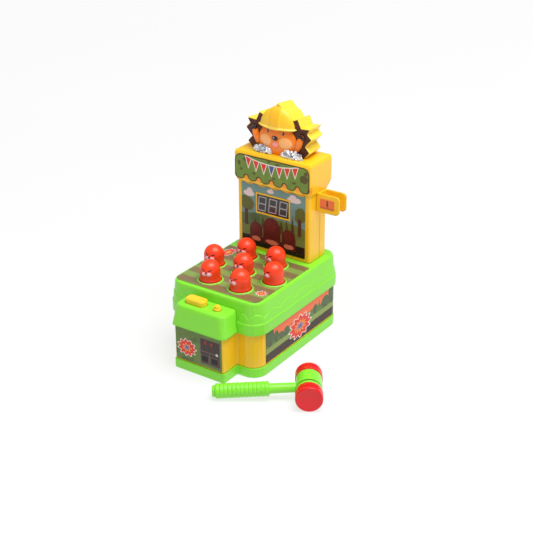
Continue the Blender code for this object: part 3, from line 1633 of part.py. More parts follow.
def side_strip(name, side):
    """Side label: flat along the wall, and a little way round the rear corner."""
    low = plinth_height + seat_gap + side_label_bottom_gap
    high = skirt_height - side_label_top_gap
    radius = body_corner_radius - body_inset
    wall = base_half_width - body_inset
    centre_y = rear_y - body_corner_radius
    start_y = body_front_y + body_corner_radius
    rings = []
    for offset in (label_gap, label_gap + label_thickness):
        path = [Vector((side * (wall + offset), start_y))]
        for step in range(corner_steps):
            angle = math.radians(side_label_wrap_degrees) * step / (corner_steps - 1)
            reach = radius + offset
            path.append(Vector((side * (wall - radius + reach * math.cos(angle)),
                                centre_y + reach * math.sin(angle))))
        rings.append(path)
    inner, outer = rings
    outline = inner + list(reversed(outer))
    return loft(name, [at_height(outline, low), at_height(outline, high)])


def build_mallet_clip():
    """Yellow fork: two plates on a root that is pegged into the tower's side."""
    left = tower_half_width + seat_gap
    right = left + clip_reach
    rear = clip_front_y + 2 * clip_plate + clip_slot
    slot_front = clip_front_y + clip_plate
    slot_rear = rear - clip_plate
    root = left + clip_root
    plan = rounded([
        (left, clip_front_y, 0, 0),
        (right, clip_front_y, clip_tip_radius, tip_steps),
        (right, slot_front, clip_tip_radius, tip_steps),
        (root, slot_front, clip_slot_radius, small_corner_steps),
        (root, slot_rear, clip_slot_radius, small_corner_steps),
        (right, slot_rear, clip_tip_radius, tip_steps),
        (right, rear, clip_tip_radius, tip_steps),
        (left, rear, 0, 0),
    ])
    clip = loft("mallet_clip", [at_height(plan, clip_bottom), at_height(plan, clip_top)])
    side = rounded([
        (left - cut_overrun, clip_bottom, 0, 0),
        (right, clip_bottom, clip_corner_radius, cap_corner_steps),
        (right, clip_top, clip_corner_radius, cap_corner_steps),
        (left - cut_overrun, clip_top, 0, 0),
    ])
    envelope = loft("clip_envelope", [
        at_depth(side, clip_front_y - cut_overrun), at_depth(side, rear + cut_overrun)], collection=cutters)
    keep_common(clip, envelope)
    join(clip, rods("clip_pegs", clip_peg_places(), clip_peg_radius, left - clip_peg_length,
                    left + clip_root / 2, "X"))
    return finish_piece(clip, yellow, 0.3)


def crown_peg_places():
    y = crown_front_y + crown_peg_inset
    return [(-crown_peg_x, y), (crown_peg_x, y)]


def crown_outline(share):
    """Jagged outline in X and Z, mirrored about the middle of the crown."""
    right = [Vector((x * share * crown_half_width, crown_base + z * share * crown_rise))
             for x, z in crown_outline_shares]
    left = [Vector((-point.x, point.y)) for point in reversed(right)]
    return right + left


def crown_ring(share, inset_share, depth):
    """One section of the crown, drawn in towards its middle for a softened edge."""
    middle = Vector((0, crown_base + crown_rise * crown_middle_share))
    points = []
    for point in crown_outline(share):
        moved = middle + (point - middle) * inset_share
        points.append(Vector((moved.x, depth, max(moved.y, crown_base))))
    return points


def build_crown_shell():
    """Yellow crown: a thick jagged moulding, hollow from below, with two pegs."""
    rear = crown_front_y + crown_depth
    edge_share = 1 - crown_edge / crown_half_width
    shell = loft("crown_shell", [
        crown_ring(1.0, edge_share, crown_front_y),
        crown_ring(1.0, 1.0, crown_front_y + crown_edge),
        crown_ring(crown_rear_share, 1.0, rear - crown_edge),
        crown_ring(crown_rear_share, edge_share, rear),
    ])
    base = crown_base - cut_overrun
    top = crown_base + crown_cavity_height
    cavity_round = crown_cavity_half_width * crown_cavity_round_share
    cavity = rounded([
        (-crown_cavity_half_width, base, 0, 0),
        (crown_cavity_half_width, base, 0, 0),
        (crown_cavity_half_width, top, cavity_round, small_corner_steps),
        (-crown_cavity_half_width, top, cavity_round, small_corner_steps),
    ])
    cut(shell, loft("crown_space", [
        at_depth(cavity, crown_front_y + crown_wall), at_depth(cavity, rear - crown_wall)],
        collection=cutters))
    join(shell, rods("crown_pegs", crown_peg_places(), crown_peg_radius, crown_base - crown_peg_length,
                     crown_base + crown_wall))
    finish_piece(shell, yellow, 0.3)
    back = crown_front_y - seat_gap
    backing = loft("crown_backing", [
        crown_ring(backing_share, 1.0, back), crown_ring(backing_share, 1.0, back - backing_thickness)])
    finish_piece(backing, dark_brown, 0.4)


def relief_limits():
    """Y of the plane that the crown's reliefs stand on."""
    return crown_front_y - 2 * seat_gap - backing_thickness


def relief_half(name, piece, low, high):
    """Keep the part of a round form in front of the backing, between two heights."""
    wide = base_half_width
    plane = relief_limits()
    keep_common(piece, block(name, (-wide, plane - crown_depth, low), (wide, plane, high), cutters))


def head_form(name, clearance, collection):
    centre = (0, relief_limits(), crown_base + head_centre_rise)
    radii = (head_half_width + clearance, head_reach + clearance, head_half_height + clearance)
    return ellipsoid(name, centre, radii, collection=collection)


def build_crown_mole():
    """Orange mole's head in relief, with a raised arm at each side."""
    head = head_form("crown_mole", 0, parts)
    for label, side in (("left", -1), ("right", 1)):
        arm = ellipsoid("arm_" + label, (0, 0, 0), (arm_half_width, arm_reach, arm_half_length),
                        screw_segments, small_ellipsoid_rings)
        arm.location = (side * arm_x, relief_limits(), crown_base + arm_rise)
        arm.rotation_euler = (0, side * math.radians(arm_lean_degrees), 0)
        join(head, arm)
    relief_half("head_limits", head, crown_base, crown_base + helmet_rise - seat_gap)
    return finish_piece(head, orange, 0.3)


def build_crown_helmet():
    """Yellow hard hat in relief, with a raised rib and a brim."""
    plane = relief_limits()
    foot = crown_base + helmet_rise
    centre = foot - helmet_drop
    helmet = ellipsoid("crown_helmet", (0, plane, centre), (helmet_half_width, helmet_reach, helmet_height),
                       collection=parts)
    rib = ellipsoid("helmet_rib", (0, plane + helmet_rib_rise, centre - helmet_rib_rise),
                    (helmet_rib_half_width, helmet_reach + 2 * helmet_rib_rise,
                     helmet_height + 2 * helmet_rib_rise),
                    screw_segments)
    join(helmet, rib)
    brim = ellipsoid("helmet_brim", (0, plane, foot + brim_cut),
                     (brim_half_width, brim_reach, brim_half_thickness), rings=small_ellipsoid_rings)
    join(helmet, brim)
    relief_half("helmet_limits", helmet, foot, foot + 2 * helmet_height)
    return finish_piece(helmet, yellow, 0.3)


def build_gravel():
    """Two heaps of silver rubble at the foot of the crown."""
    dice = random.Random(gravel_seed)
    for name, x, half_width in (("crown_gravel_left", gravel_left_x, gravel_left_half_width),
                                ("crown_gravel_right", gravel_right_x, gravel_right_half_width)):
        work = bmesh.new()
        bmesh.ops.create_icosphere(work, subdivisions=2, radius=1.0)
        for vertex in work.verts:
            vertex.co *= 1 + gravel_roughness_share * dice.uniform(-1, 1)
        radii = (half_width, gravel_half_depth, gravel_rise)
        bmesh.ops.transform(work, matrix=Matrix.Diagonal((*radii, 1.0)), verts=work.verts)
        bmesh.ops.translate(work, vec=(x, gravel_front_y + gravel_half_depth, crown_base), verts=work.verts)
        heap = mesh_object(name, work)
        keep_common(heap, block(name + "_ground", (-base_half_width, awning_front_y, crown_base),
                                (base_half_width, relief_limits(), crown_base + crown_rise), cutters))
        cut(heap, head_form(name + "_back", gravel_clearance, cutters))
        finish_piece(heap, silver, 0.25, 0.9)


def build_mallet():
    """Mallet lying on its head and grip: handle, barrel and two red striking faces."""
    lean = math.asin((face_radius - grip_radius) / mallet_length)
    turn = math.radians(mallet_turn_degrees)
    frame = joint_empty("mallet_lift", (mallet_x, mallet_y, face_radius), (0, -lean, turn))
    rib_pitch = (grip_length - grip_end_length) / grip_rib_count
    end = -mallet_length
    profile = [(0, end), (grip_end_radius - grip_rib_depth, end), (grip_end_radius, end + grip_rib_depth),
               (grip_end_radius, end + grip_end_length)]
    for index in range(grip_rib_count):
        start = end + grip_end_length + index * rib_pitch
        depths = (grip_rib_depth, 0, 0)
        profile += [(grip_radius - depth, start + rib_pitch * share)
                    for depth, share in zip(depths, grip_rib_shares)]
    grip_end = end + grip_length
    profile += [
        (shaft_radius, grip_end),
        (shaft_tip_radius, -barrel_radius + shaft_entry),
        (0, -barrel_radius + shaft_entry),
    ]
    profile.reverse()
    handle = turned("mallet_handle", profile, parent=frame, segments=grip_segments, axis="X")
    finish_piece(handle, green, 0.35)

    half = barrel_length / 2
    groove = barrel_radius - barrel_groove_depth
    groove_high = half - barrel_groove_offset
    groove_low = groove_high - barrel_groove_width
    bore = face_spigot_radius + face_spigot_clearance
    bore_depth = face_spigot_length + face_spigot_clearance
    barrel = turned("mallet_head", [
        (0, half - bore_depth),
        (bore, half - bore_depth),
        (bore, half),
        (barrel_radius, half),
        (barrel_radius, groove_high),
        (groove, groove_high),
        (groove, groove_low),
        (barrel_radius, groove_low),
        (barrel_radius, -half),
        (bore, -half),
        (bore, -half + bore_depth),
        (0, -half + bore_depth),
    ], parent=frame, segments=mallet_segments, axis="Y")
    hole = rods("shaft_bore", [(0, 0)], shaft_radius + shaft_clearance, -mallet_length / 2,
                -barrel_radius + shaft_entry + shaft_clearance, "X", grip_segments)
    hole.parent = frame
    cut(barrel, hole)
    finish_piece(barrel, green, 0.3)

    flat_edge = face_radius - face_flat_radius
    groove_near = face_length * face_groove_share
    for name, side in (("mallet_face_front", 1), ("mallet_face_rear", -1)):
        near = half + seat_gap
        far = near + face_length
        low = half - face_spigot_length
        profile = [
            (0, far),
            (face_flat_radius, far),
            (face_radius - flat_edge * face_edge_share, far - flat_edge * face_edge_share),
            (face_radius, far - flat_edge),
            (face_radius, near + groove_near + face_groove_width),
            (face_radius - face_groove_depth, near + groove_near + face_groove_width / 2),
            (face_radius, near + groove_near),
            (face_radius, near),
            (face_spigot_radius, near),
            (face_spigot_radius, low),
            (0, low),
        ]
        face = turned(name, profile, parent=frame, segments=mallet_segments, axis="Y")
        if side < 0:
            face.rotation_euler = (-math.pi / 2, 0, 0)
        finish_piece(face, mallet_red, 0.3)


def main():
    clear_scene()
    build_base_plate()
    build_battery_door()
    door_head = door_lift + door_screw_recess - seat_gap - screw_head_thickness
    build_screw("battery_door_screw", door_screw_place(), door_head, door_screw_length)
    build_cells()
    build_speaker()
    build_lower_body()
    build_top_housing()
    build_console_cap()
    build_console_board()
    build_select_button()
    key = build_start_button()
    on_empty(key, joint_empty("start_slide", (start_x, button_row_y, cap_height)))
    low = console_board_top + seat_gap
    spring = coil("start_button_spring", (start_x, button_row_y), start_spring_radius, start_spring_wire,
                  low, cap_height + start_rise - start_roof - seat_gap)
    finish_piece(spring, spring_steel, 0.3, 1.0)
    build_mole_frame()
    build_mole_board()
    build_moles()
    for index, place in enumerate(screw_places()):
        build_screw(f"base_screw_{index + 1}", place, screw_seat - screw_head_thickness - seat_gap,
                    screw_length)
    build_tower_front()
    build_tower_rear()
    recess = tower_rear_y - tower_recess_depth
    for index, place in enumerate(tower_screw_places()):
        build_screw(f"tower_screw_{index + 1}", place, recess + screw_head_thickness + seat_gap,
                    screw_length, "Y")
    build_display()
    build_awning_hood()
    build_labels()
    build_mallet_clip()
    build_crown_shell()
    build_crown_mole()
    build_crown_helmet()
    build_gravel()
    build_mallet()


main()
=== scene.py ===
import math
import random

import bmesh
import bpy
from mathutils import Euler, Matrix, Vector


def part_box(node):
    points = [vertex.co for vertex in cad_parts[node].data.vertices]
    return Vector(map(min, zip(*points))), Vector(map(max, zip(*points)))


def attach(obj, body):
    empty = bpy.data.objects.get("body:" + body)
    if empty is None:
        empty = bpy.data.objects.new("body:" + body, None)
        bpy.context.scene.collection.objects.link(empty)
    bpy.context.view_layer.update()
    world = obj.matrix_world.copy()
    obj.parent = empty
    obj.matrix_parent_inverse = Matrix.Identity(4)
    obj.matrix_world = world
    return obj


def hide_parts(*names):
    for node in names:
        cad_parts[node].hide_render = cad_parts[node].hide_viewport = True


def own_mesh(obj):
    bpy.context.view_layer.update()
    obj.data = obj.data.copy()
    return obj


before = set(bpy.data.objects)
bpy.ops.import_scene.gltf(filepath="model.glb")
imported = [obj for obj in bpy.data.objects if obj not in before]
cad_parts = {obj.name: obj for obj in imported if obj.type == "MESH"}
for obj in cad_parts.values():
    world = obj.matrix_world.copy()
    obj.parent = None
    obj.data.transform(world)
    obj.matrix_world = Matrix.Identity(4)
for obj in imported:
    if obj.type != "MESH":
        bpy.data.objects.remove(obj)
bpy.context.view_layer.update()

# Base plate: the green foot that carries everything, moulded in glossy plastic like its battery
# door, which lies in a recess of the plate's floor and is held by a single screw.
mm = 0.001
print_edge = 0.3
coat_roughness = 0.12
fine_round = 0.4 * mm
wide_round = 2.2 * mm


def tone(red, green, blue):
    """A colour as it looks on a screen, 0 to 255, in the shader's linear values."""
    return tuple((part / 255) ** 2.2 for part in (red, green, blue)) + (1.0,)


def deeper(colour, share):
    """The same colour with more or less light in it."""
    return tuple(min(part * share, 1.0) for part in colour[:3]) + (1.0,)


class Wire:
    """A socket of a material's nodes. An expression on wires adds its own Math nodes."""

    def __init__(self, tree, socket=None):
        self.tree = tree
        self.socket = socket

    def node(self, kind, sockets, output=0, **settings):
        """Adds a node: first its settings, then the values or wires of its sockets."""
        made = self.tree.nodes.new("ShaderNode" + kind)
        for setting, value in settings.items():
            setattr(made, setting, value)
        for socket, value in sockets.items():
            if isinstance(value, Wire):
                self.tree.links.new(value.socket, made.inputs[socket])
            else:
                made.inputs[socket].default_value = value
        return Wire(self.tree, made.outputs[output])

    def into(self, shader, socket):
        self.tree.links.new(self.socket, shader.inputs[socket])

    def worked(self, operation, *others, clamped=False):
        """A Math node on this value and the others."""
        return self.node("Math", dict(enumerate((self, *others))), operation=operation, use_clamp=clamped)

    def __add__(self, other):
        return self.worked("ADD", other)

    def __sub__(self, other):
        return self.worked("SUBTRACT", other)

    def __rsub__(self, other):
        return self.node("Math", {0: other, 1: self}, operation="SUBTRACT")

    def __mul__(self, other):
        return self.worked("MULTIPLY", other)

    def __truediv__(self, other):
        return self.worked("DIVIDE", other)

    def __abs__(self):
        return self.worked("ABSOLUTE")

    __radd__ = __add__
    __rmul__ = __mul__

    def under(self, edge, soft=print_edge):
        """1 where the value is below the edge and 0 above it, with a soft step."""
        return self.worked("MULTIPLY_ADD", -1 / soft, edge / soft + 0.5, clamped=True)

    def over(self, edge, soft=print_edge):
        """1 where the value is above the edge and 0 below it, with a soft step."""
        return self.worked("MULTIPLY_ADD", 1 / soft, 0.5 - edge / soft, clamped=True)

    def either(self, other):
        """The larger of two values, so also what lies in either of two masks."""
        return self.worked("MAXIMUM", other)

    def repeat(self, pitch, count):
        """The value counted anew from the middle of each pitch, for so many pitches round 0."""
        return (self + count / 2 * pitch).worked("FLOORED_MODULO", pitch) - pitch / 2

    def between(self, low, high):
        """A colour that goes from low to high as the value goes from 0 to 1."""
        return self.node("Mix", {0: self, 6: low, 7: high}, output=2, data_type="RGBA")

    def painted(self, mask, colour):
        """This colour with another laid over it where the mask is 1."""
        return mask.between(self, colour)


def dress(material, *nodes):
    """Gives CAD nodes their finish."""
    for name in nodes:
        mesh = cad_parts[name].data
        mesh.materials.clear()
        mesh.materials.append(material)


def new_material(name, axes="", *nodes):
    """A material for any CAD nodes named, its shader, a wire for the place on the object in
    metres, and wires in millimetres for the place along the named axes."""
    material = bpy.data.materials.new(name)
    material.use_nodes = True
    dress(material, *nodes)
    tree = material.node_tree
    place = Wire(tree).node("TexCoord", {}, output="Object")
    lengths = [place.node("SeparateXYZ", {0: place}, output=axis) / mm for axis in axes]
    return material, tree.nodes["Principled BSDF"], place, *lengths


def clouds(place, scale, detail=3.0):
    """Soft noise from 0 to 1, with a number of waves to the metre."""
    return place.node("TexNoise", {"Vector": place, "Scale": scale, "Detail": detail})


def skin(shader, place, colour, roughness=0.34, peel=0.35, coat=0.2, sheen=0.4, edge_round=fine_round):
    """The surface itself: its colour, a gloss that wanders a little, a fine orange-peel relief,
    and a soft highlight where faces meet at an edge."""
    colour.into(shader, "Base Color")
    (clouds(place, 55.0) * 0.16 + (roughness - 0.08)).into(shader, "Roughness")
    relief = clouds(place, 700.0, 2.0) * 0.25 + clouds(place, 90.0, 1.0)
    rounded = place.node("Bevel", {"Radius": edge_round}, samples=6)
    relief.node("Bump", {"Height": relief, "Strength": peel, "Distance": 0.12 * mm,
                         "Normal": rounded}).into(shader, "Normal")
    shader.inputs["Specular IOR Level"].default_value = sheen
    shader.inputs["Coat Weight"].default_value = coat
    shader.inputs["Coat Roughness"].default_value = coat_roughness


def moulded(name, colour, wander=0.07, **finish):
    """Dyed plastic from a mould: the dye flows in faint clouds from lighter to deeper."""
    material, shader, place = new_material(name)
    dye = clouds(place, 16.0) * 0.7 + clouds(place, 140.0) * 0.3
    skin(shader, place, dye.between(deeper(colour, 1 - wander), deeper(colour, 1 + wander)), **finish)
    return material


leaf_green = tone(130, 224, 54)
green_moulding = moulded("green_moulding", leaf_green, edge_round=wide_round)
dress(green_moulding, "base_plate", "battery_door")

# Screws: small steel thread-formers with a bright zinc coat, driven up through the base plate,
# through the battery door and into the back of the tower.
zinc_grey = tone(196, 198, 204)
turned_lines = (1.0, 1.0, 0.15)
screws = ["battery_door_screw", "tower_screw_1", "tower_screw_2"] + [f"base_screw_{n}" for n in range(1, 5)]


def stretched(place, scale, stretch, detail=2.0):
    """Noise that is drawn out along the axes with a small stretch, for hairs and drawn metal."""
    drawn = place.node("VectorMath", {0: place, 1: stretch}, operation="MULTIPLY")
    return drawn.node("TexNoise", {"Vector": drawn, "Scale": scale, "Detail": detail})


def metal(name, colour, roughness, stretch):
    """Bare metal with fine drawn or turned lines, one way longer than the others."""
    material, shader, place = new_material(name)
    lines = stretched(place, 900.0, stretch, 3.0)
    lines.between(deeper(colour, 0.85), colour).into(shader, "Base Color")
    (lines * 0.2 + (roughness - 0.1)).into(shader, "Roughness")
    lines.node("Bump", {"Height": lines, "Strength": 0.25, "Distance": 0.05 * mm}).into(shader, "Normal")
    shader.inputs["Metallic"].default_value = 1.0
    return material


dress(metal("zinc_plate", zinc_grey, 0.32, turned_lines), *screws)

# Battery cells: three button-top cells that lie side by side in the bay of the base, each
# a steel can in a dark foil jacket with a copper band at its nub end.
cell_black = tone(42, 42, 46)
cell_copper = tone(196, 124, 62)
cell_band_start = 60.0
cells = [f"battery_cell_{n}" for n in (1, 2, 3)]


def mottled(place, colour, low=0.94, high=1.06, scale=16.0):
    """A colour that drifts in soft clouds between two shares of its own light."""
    return clouds(place, scale).between(deeper(colour, low), deeper(colour, high))


_, shader, place, along = new_material("cell_jacket_foil", "Y", *cells)
jacket = mottled(place, cell_black, 0.8, 1.0, 30.0)
skin(shader, place, jacket.painted(along.over(cell_band_start), cell_copper), 0.3, coat=0.5)

# Speaker: a black steel basket with a ringed paper cone. It lies in a ring over the holes
# in the base and is glued there.
speaker_black = tone(46, 46, 50)
speaker_y = -54.0
cone_ring_pitch = 2.618
_, shader, place, across, depth = new_material("speaker_basket", "XY", "speaker")
depth = depth - speaker_y
from_middle = (across * across + depth * depth).worked("SQRT")
rings = (from_middle * (math.tau / cone_ring_pitch)).worked("SINE") * 0.5 + 0.5
rings.between(deeper(speaker_black, 0.7), speaker_black).into(shader, "Base Color")
(clouds(place, 300.0) * 0.2 + 0.35).into(shader, "Roughness")
rings.node("Bump", {"Height": rings, "Strength": 0.4, "Distance": 0.3 * mm}).into(shader, "Normal")

# Lower body: the yellow skirt of the cabinet, one hollow moulding that the base plate closes.
# The console's front and the long sides carry printed film.
sun_yellow = tone(253, 194, 36)
yellow_moulding = moulded("yellow_moulding", sun_yellow, edge_round=wide_round)
dress(yellow_moulding, "lower_body")

# Frame and boards: an undyed moulding of guide sleeves, staked to pegs under the deck, and two
# boards of green laminate with bright tracks, one under the sleeves and one in the console.
natural_white = tone(226, 224, 214)
board_green = tone(40, 112, 62)
board_trace = tone(78, 158, 92)
trace_pitch, trace_share, trace_wander = 3.2, 0.72, 6.0
dress(moulded("undyed_moulding", natural_white, roughness=0.5, coat=0.0), "mole_frame")
board_finish, shader, place, across = new_material("board_laminate", "X", "mole_board", "console_board")
tracks = clouds(place, 60.0, 0.0)
across = (across + tracks * trace_wander).worked("PINGPONG", trace_pitch)
copper = across.over(trace_pitch * trace_share) * tracks.over(0.42, 0.02)
skin(shader, place, mottled(place, board_green, 0.85, 1.0, 25.0).painted(copper, board_trace), 0.35)

# Top housing and console cap: glossy green mouldings. The base screws draw the housing down on
# the wall; its deck has a raised lip at each hole, painted a lighter green as a painted highlight
# where the lips catch the light. The cap laps over the console's upper edge.
lip_z = 92.0
housing_round = 1.3 * mm
lip_highlight_green = tone(158, 242, 92)
_, shader, place, up = new_material("housing_moulding", "Z", "top_housing")
dye = mottled(place, leaf_green)
# Painted highlight: the housing above lip_z, which is the lips round the holes, is painted a lighter green.
skin(shader, place, dye.painted(up.over(lip_z, 0.6), lip_highlight_green), edge_round=housing_round)
dress(green_moulding, "console_cap")

# Start key and select key: two glossy amber mouldings. The larger one sits on a small spring of
# steel wire with closed end turns, which shortens as the key goes down.
key_amber = tone(255, 202, 46)
key_moulding = moulded("key_moulding", key_amber, roughness=0.26)
dress(key_moulding, "start_button", "select_button")
spring_grey = tone(178, 180, 186)
spring_wire = metal("spring_wire", spring_grey, 0.3, (1.0, 1.0, 1.0))
spring_turns = 5
turn_steps = 24
wire_sides = 8
key_spring_wire = 0.7 * mm


def make_piece(name, work, material, body, slot, *stands_for, smooth=35.0, matrix=None):
    """Turns a shaped mesh into a piece that rides on its body and stands for its CAD nodes."""
    bmesh.ops.recalc_face_normals(work, faces=work.faces)
    mesh = bpy.data.meshes.new(name)
    work.to_mesh(mesh)
    work.free()
    if smooth:
        mesh.shade_smooth()
        mesh.set_sharp_from_angle(angle=math.radians(smooth))
    mesh.materials.append(material)
    made = bpy.data.objects.new(name, mesh)
    bpy.context.scene.collection.objects.link(made)
    if matrix:
        made.matrix_world = matrix
    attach(made, body)
    if stands_for:
        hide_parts(*stands_for)
    return made


def wind_spring(name, node, wire):
    """A compression spring as long as its CAD node, with a closed turn at each end."""
    low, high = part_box(node)
    middle = (low + high) / 2
    radius = (high.x - low.x - wire) / 2
    rise = high.z - low.z - 3 * wire
    work = bmesh.new()
    rings = []
    for step in range(spring_turns * turn_steps + 1):
        turn = step / turn_steps
        outward = Vector((math.cos(math.tau * turn), math.sin(math.tau * turn), 0.0))
        height = (low.z + wire / 2 + wire * (min(turn, 1) + max(turn - spring_turns + 1, 0))
                  + rise * min(max((turn - 1) / (spring_turns - 2), 0), 1))
        heart = Vector((middle.x, middle.y, height)) + outward * radius
        rings.append([])
        for side in range(wire_sides):
            around = math.tau * side / wire_sides
            spoke = outward * math.cos(around) + Vector((0.0, 0.0, math.sin(around)))
            rings[-1].append(work.verts.new(heart + spoke * (wire / 2)))
    for ring, after in zip(rings, rings[1:]):
        for side in range(wire_sides):
            work.faces.new((ring[side - 1], ring[side], after[side], after[side - 1]))
    work.faces.new(rings[0])
    work.faces.new(rings[-1])
    made = make_piece(name, work, spring_wire, "cabinet", "spring_steel", node)
    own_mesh(made)


wind_spring("start_key_spring", "start_button_spring", key_spring_wire)

# Moles: seven hollow plungers of satin orange-red plastic, each on its own coil spring. A small
# snout of two pale lobes, a nose and two slanted brows stand out of the shell and are painted.
# The foot of each mole is painted a darker red, a painted shade where it stands in its hole.
deck_z = 91.3
mole_radius, mole_top_z = 11.5, 115.5
dome_z = mole_top_z - mole_radius
mole_steps, dome_rows, wall_rows = 96, 22, 12
foot_z, foot_radius = 95.8, 13.0
foot_flare = [(11.9, 94.6), (12.22, 93.3), (12.6, 92.2), (foot_radius, deck_z)]
foot_shade_z, face_y = 93.6, -2.0
flange_radius, flange_top, flange_low = 14.3, 89.0, 87.4
cavity_radius = 10.3
post_radius, post_top, post_foot = 5.6, 111.9, 94.0
stem_radius, stem_tip = 3.0, 62.0
mole_spring_wire = 0.9 * mm
mole_places = ((-20.6, -46.3, 15.0), (20.6, -46.3, -17.0), (-41.2, -11.4, 9.4), (0.0, -11.4, 4.0),
               (41.2, -11.4, -21.0), (-20.6, 23.5, 3.0), (20.6, 23.5, -22.0))
lobe = (2.9, 102.9), (2.9, 2.4), 1.4
nose = (0.0, 104.7), (1.2, 0.9), 1.8
brow, brow_lean = ((3.8, 107.2), (2.1, 0.75), 0.35), 0.42
mole_red = tone(246, 66, 30)
snout_pink = tone(236, 176, 186)
face_dark = tone(74, 16, 20)
foot_shade_red = tone(150, 30, 10)


def lathe(profile, steps, laid=None):
    """A round form: a profile of radius and height in millimetres, turned about the upright axis
    and then laid in its place."""
    work = bmesh.new()
    rings = []
    for radius, height in profile:
        turns = steps if radius > 0 else 1
        rings.append([work.verts.new((radius * math.cos(math.tau * turn / steps) * mm,
                                      radius * math.sin(math.tau * turn / steps) * mm,
                                      height * mm)) for turn in range(turns)])
    for lower, upper in zip(rings, rings[1:]):
        for turn in range(steps):
            after = (turn + 1) % steps
            corners = (lower[turn % len(lower)], lower[after % len(lower)],
                       upper[after % len(upper)], upper[turn % len(upper)])
            work.faces.new(list(dict.fromkeys(corners)))
    if laid:
        work.transform(laid)
    return work


def hill(across, up, middle, size, stand):
    """Height of a round swelling of that half size at a place on the shell."""
    spread = ((across - middle[0]) / size[0]) ** 2 + ((up - middle[1]) / size[1]) ** 2
    return stand * (1 - spread) ** 0.6 if spread < 1 else 0.0


def along_brow(mirrored, up):
    """The height on the mole's face, less the slant of its brows."""
    return up - (mirrored - brow[0][0]) * brow_lean


def face_relief(mirrored, up):
    """How far the mole's face stands out of its shell, in millimetres."""
    return max(hill(mirrored, up, *lobe), hill(mirrored, up, *nose),
               hill(mirrored, along_brow(mirrored, up), *brow))


def oval(across, up, middle, size, soft=print_edge):
    """Mask of an oval of that middle and half size."""
    wide = (across - middle[0]) / size[0]
    tall = (up - middle[1]) / size[1]
    return (wide * wide + tall * tall).under(1.0, 2 * soft / min(size))


mole_shell, shader, place, across, depth, up = new_material("mole_shell", "XYZ")
facing = depth.under(face_y)
mirrored = abs(across)
lobes = oval(mirrored, up, *lobe[:2]) * facing
brows = oval(mirrored, along_brow(mirrored, up), *brow[:2]) * facing
nose_tip = oval(across, up, *nose[:2]) * facing
# Painted shade: the foot of each mole, below foot_shade_z, is painted a darker red, the shade of the hole
# round it.
foot = up.under(foot_shade_z, 1.4) * 0.75
dye = mottled(place, mole_red, 0.93, 1.06, 30.0).painted(foot, foot_shade_red).painted(lobes, snout_pink)
skin(shader, place, dye.painted(brows, face_dark).painted(nose_tip, face_dark), 0.36, peel=0.2, coat=0.12)

dome = [(mole_radius * math.sin(math.pi / 2 * row / dome_rows),
         dome_z + mole_radius * math.cos(math.pi / 2 * row / dome_rows)) for row in range(dome_rows)]
wall = [(mole_radius, dome_z - (dome_z - foot_z) * row / wall_rows) for row in range(wall_rows + 1)]
mole_profile = dome + wall + foot_flare + [
    (foot_radius, flange_top), (flange_radius, flange_top), (flange_radius, flange_low),
    (cavity_radius, flange_low), (cavity_radius, dome_z), (post_radius, post_top),
    (post_radius, post_foot), (stem_radius, post_foot), (stem_radius, stem_tip), (0.0, stem_tip)]
for index in range(1, len(mole_places) + 1):
    wind_spring(f"mole_return_spring_{index}", f"mole_spring_{index}", mole_spring_wire)
for index, (x, y, turn) in enumerate(mole_places, start=1):
    work = lathe(mole_profile, mole_steps)
    for vertex in work.verts:
        across, depth, up = (part / mm for part in vertex.co)
        rise = max(up - dome_z, 0)
        reach = math.hypot(across, depth)
        if depth < 0 and up > foot_z and reach > 0.5 and math.hypot(reach, rise) > mole_radius - 0.3:
            out = Vector((across, depth, rise)).normalized()
            vertex.co += out * face_relief(abs(across), up) * mm
    stood = Matrix.Translation((x * mm, y * mm, 0)) @ Matrix.Rotation(math.radians(turn), 4, "Z")
    make_piece(f"mole_plunger_{index}", work, mole_shell, f"plunger_{index}", "mole_plastic",
               f"mole_{index}", smooth=50.0, matrix=stood)

# Score tower: two yellow half shells, pegged into the deck and drawn together by two screws
# from behind, with a raised frame round the display opening.
seam_y, seam_half = 69.5, 0.7
seam_shade = tone(214, 140, 16)
shell_round = 1.5 * mm
_, shader, place, depth = new_material("tower_moulding", "Y", "tower_front", "tower_rear")
seam = abs(depth - seam_y).under(seam_half, 0.4)
dye = mottled(place, sun_yellow)
skin(shader, place, dye.painted(seam * 0.35, seam_shade), edge_round=shell_round)

# Display: a module behind a window of smoked plastic that is seated in the tower's frame from
# inside. Three grey outlined eights show on near-black, as on a display that is unlit.
digit_middle, digit_half = (-0.3, 151.3), (5.5, 8.8)
digit_pitch, digit_count = 14.6, 3
digit_line, digit_lean = 1.15, 0.09
window_black = tone(30, 27, 30)
digit_grey = tone(166, 160, 160)


def bar(across, up, middle, half, soft=print_edge):
    """Mask of an upright box of that middle and half size."""
    return abs(across - middle[0]).under(half[0], soft) * abs(up - middle[1]).under(half[1], soft)


_, shader, place, across, up = new_material("smoked_window", "XZ", "display_window")
leaning = across - (up - digit_middle[1]) * digit_lean - digit_middle[0]
cell = leaning.repeat(digit_pitch, digit_count)
inner = (digit_half[0] - digit_line, digit_half[1] / 2 - digit_line * 0.8)
hollow = bar(cell, abs(up - digit_middle[1]), (0.0, digit_half[1] / 2 - digit_line * 0.2), inner)
digits = bar(cell, up, (0.0, digit_middle[1]), digit_half) * (1 - hollow) \
    * bar(across, up, digit_middle, (digit_count / 2 * digit_pitch, digit_half[1] + 1))
panel = mottled(place, window_black, 0.8, 1.25, 40.0)
skin(shader, place, panel.painted(digits, digit_grey), 0.24, peel=0.08, coat=0.5)
dress(board_finish, "display_module")

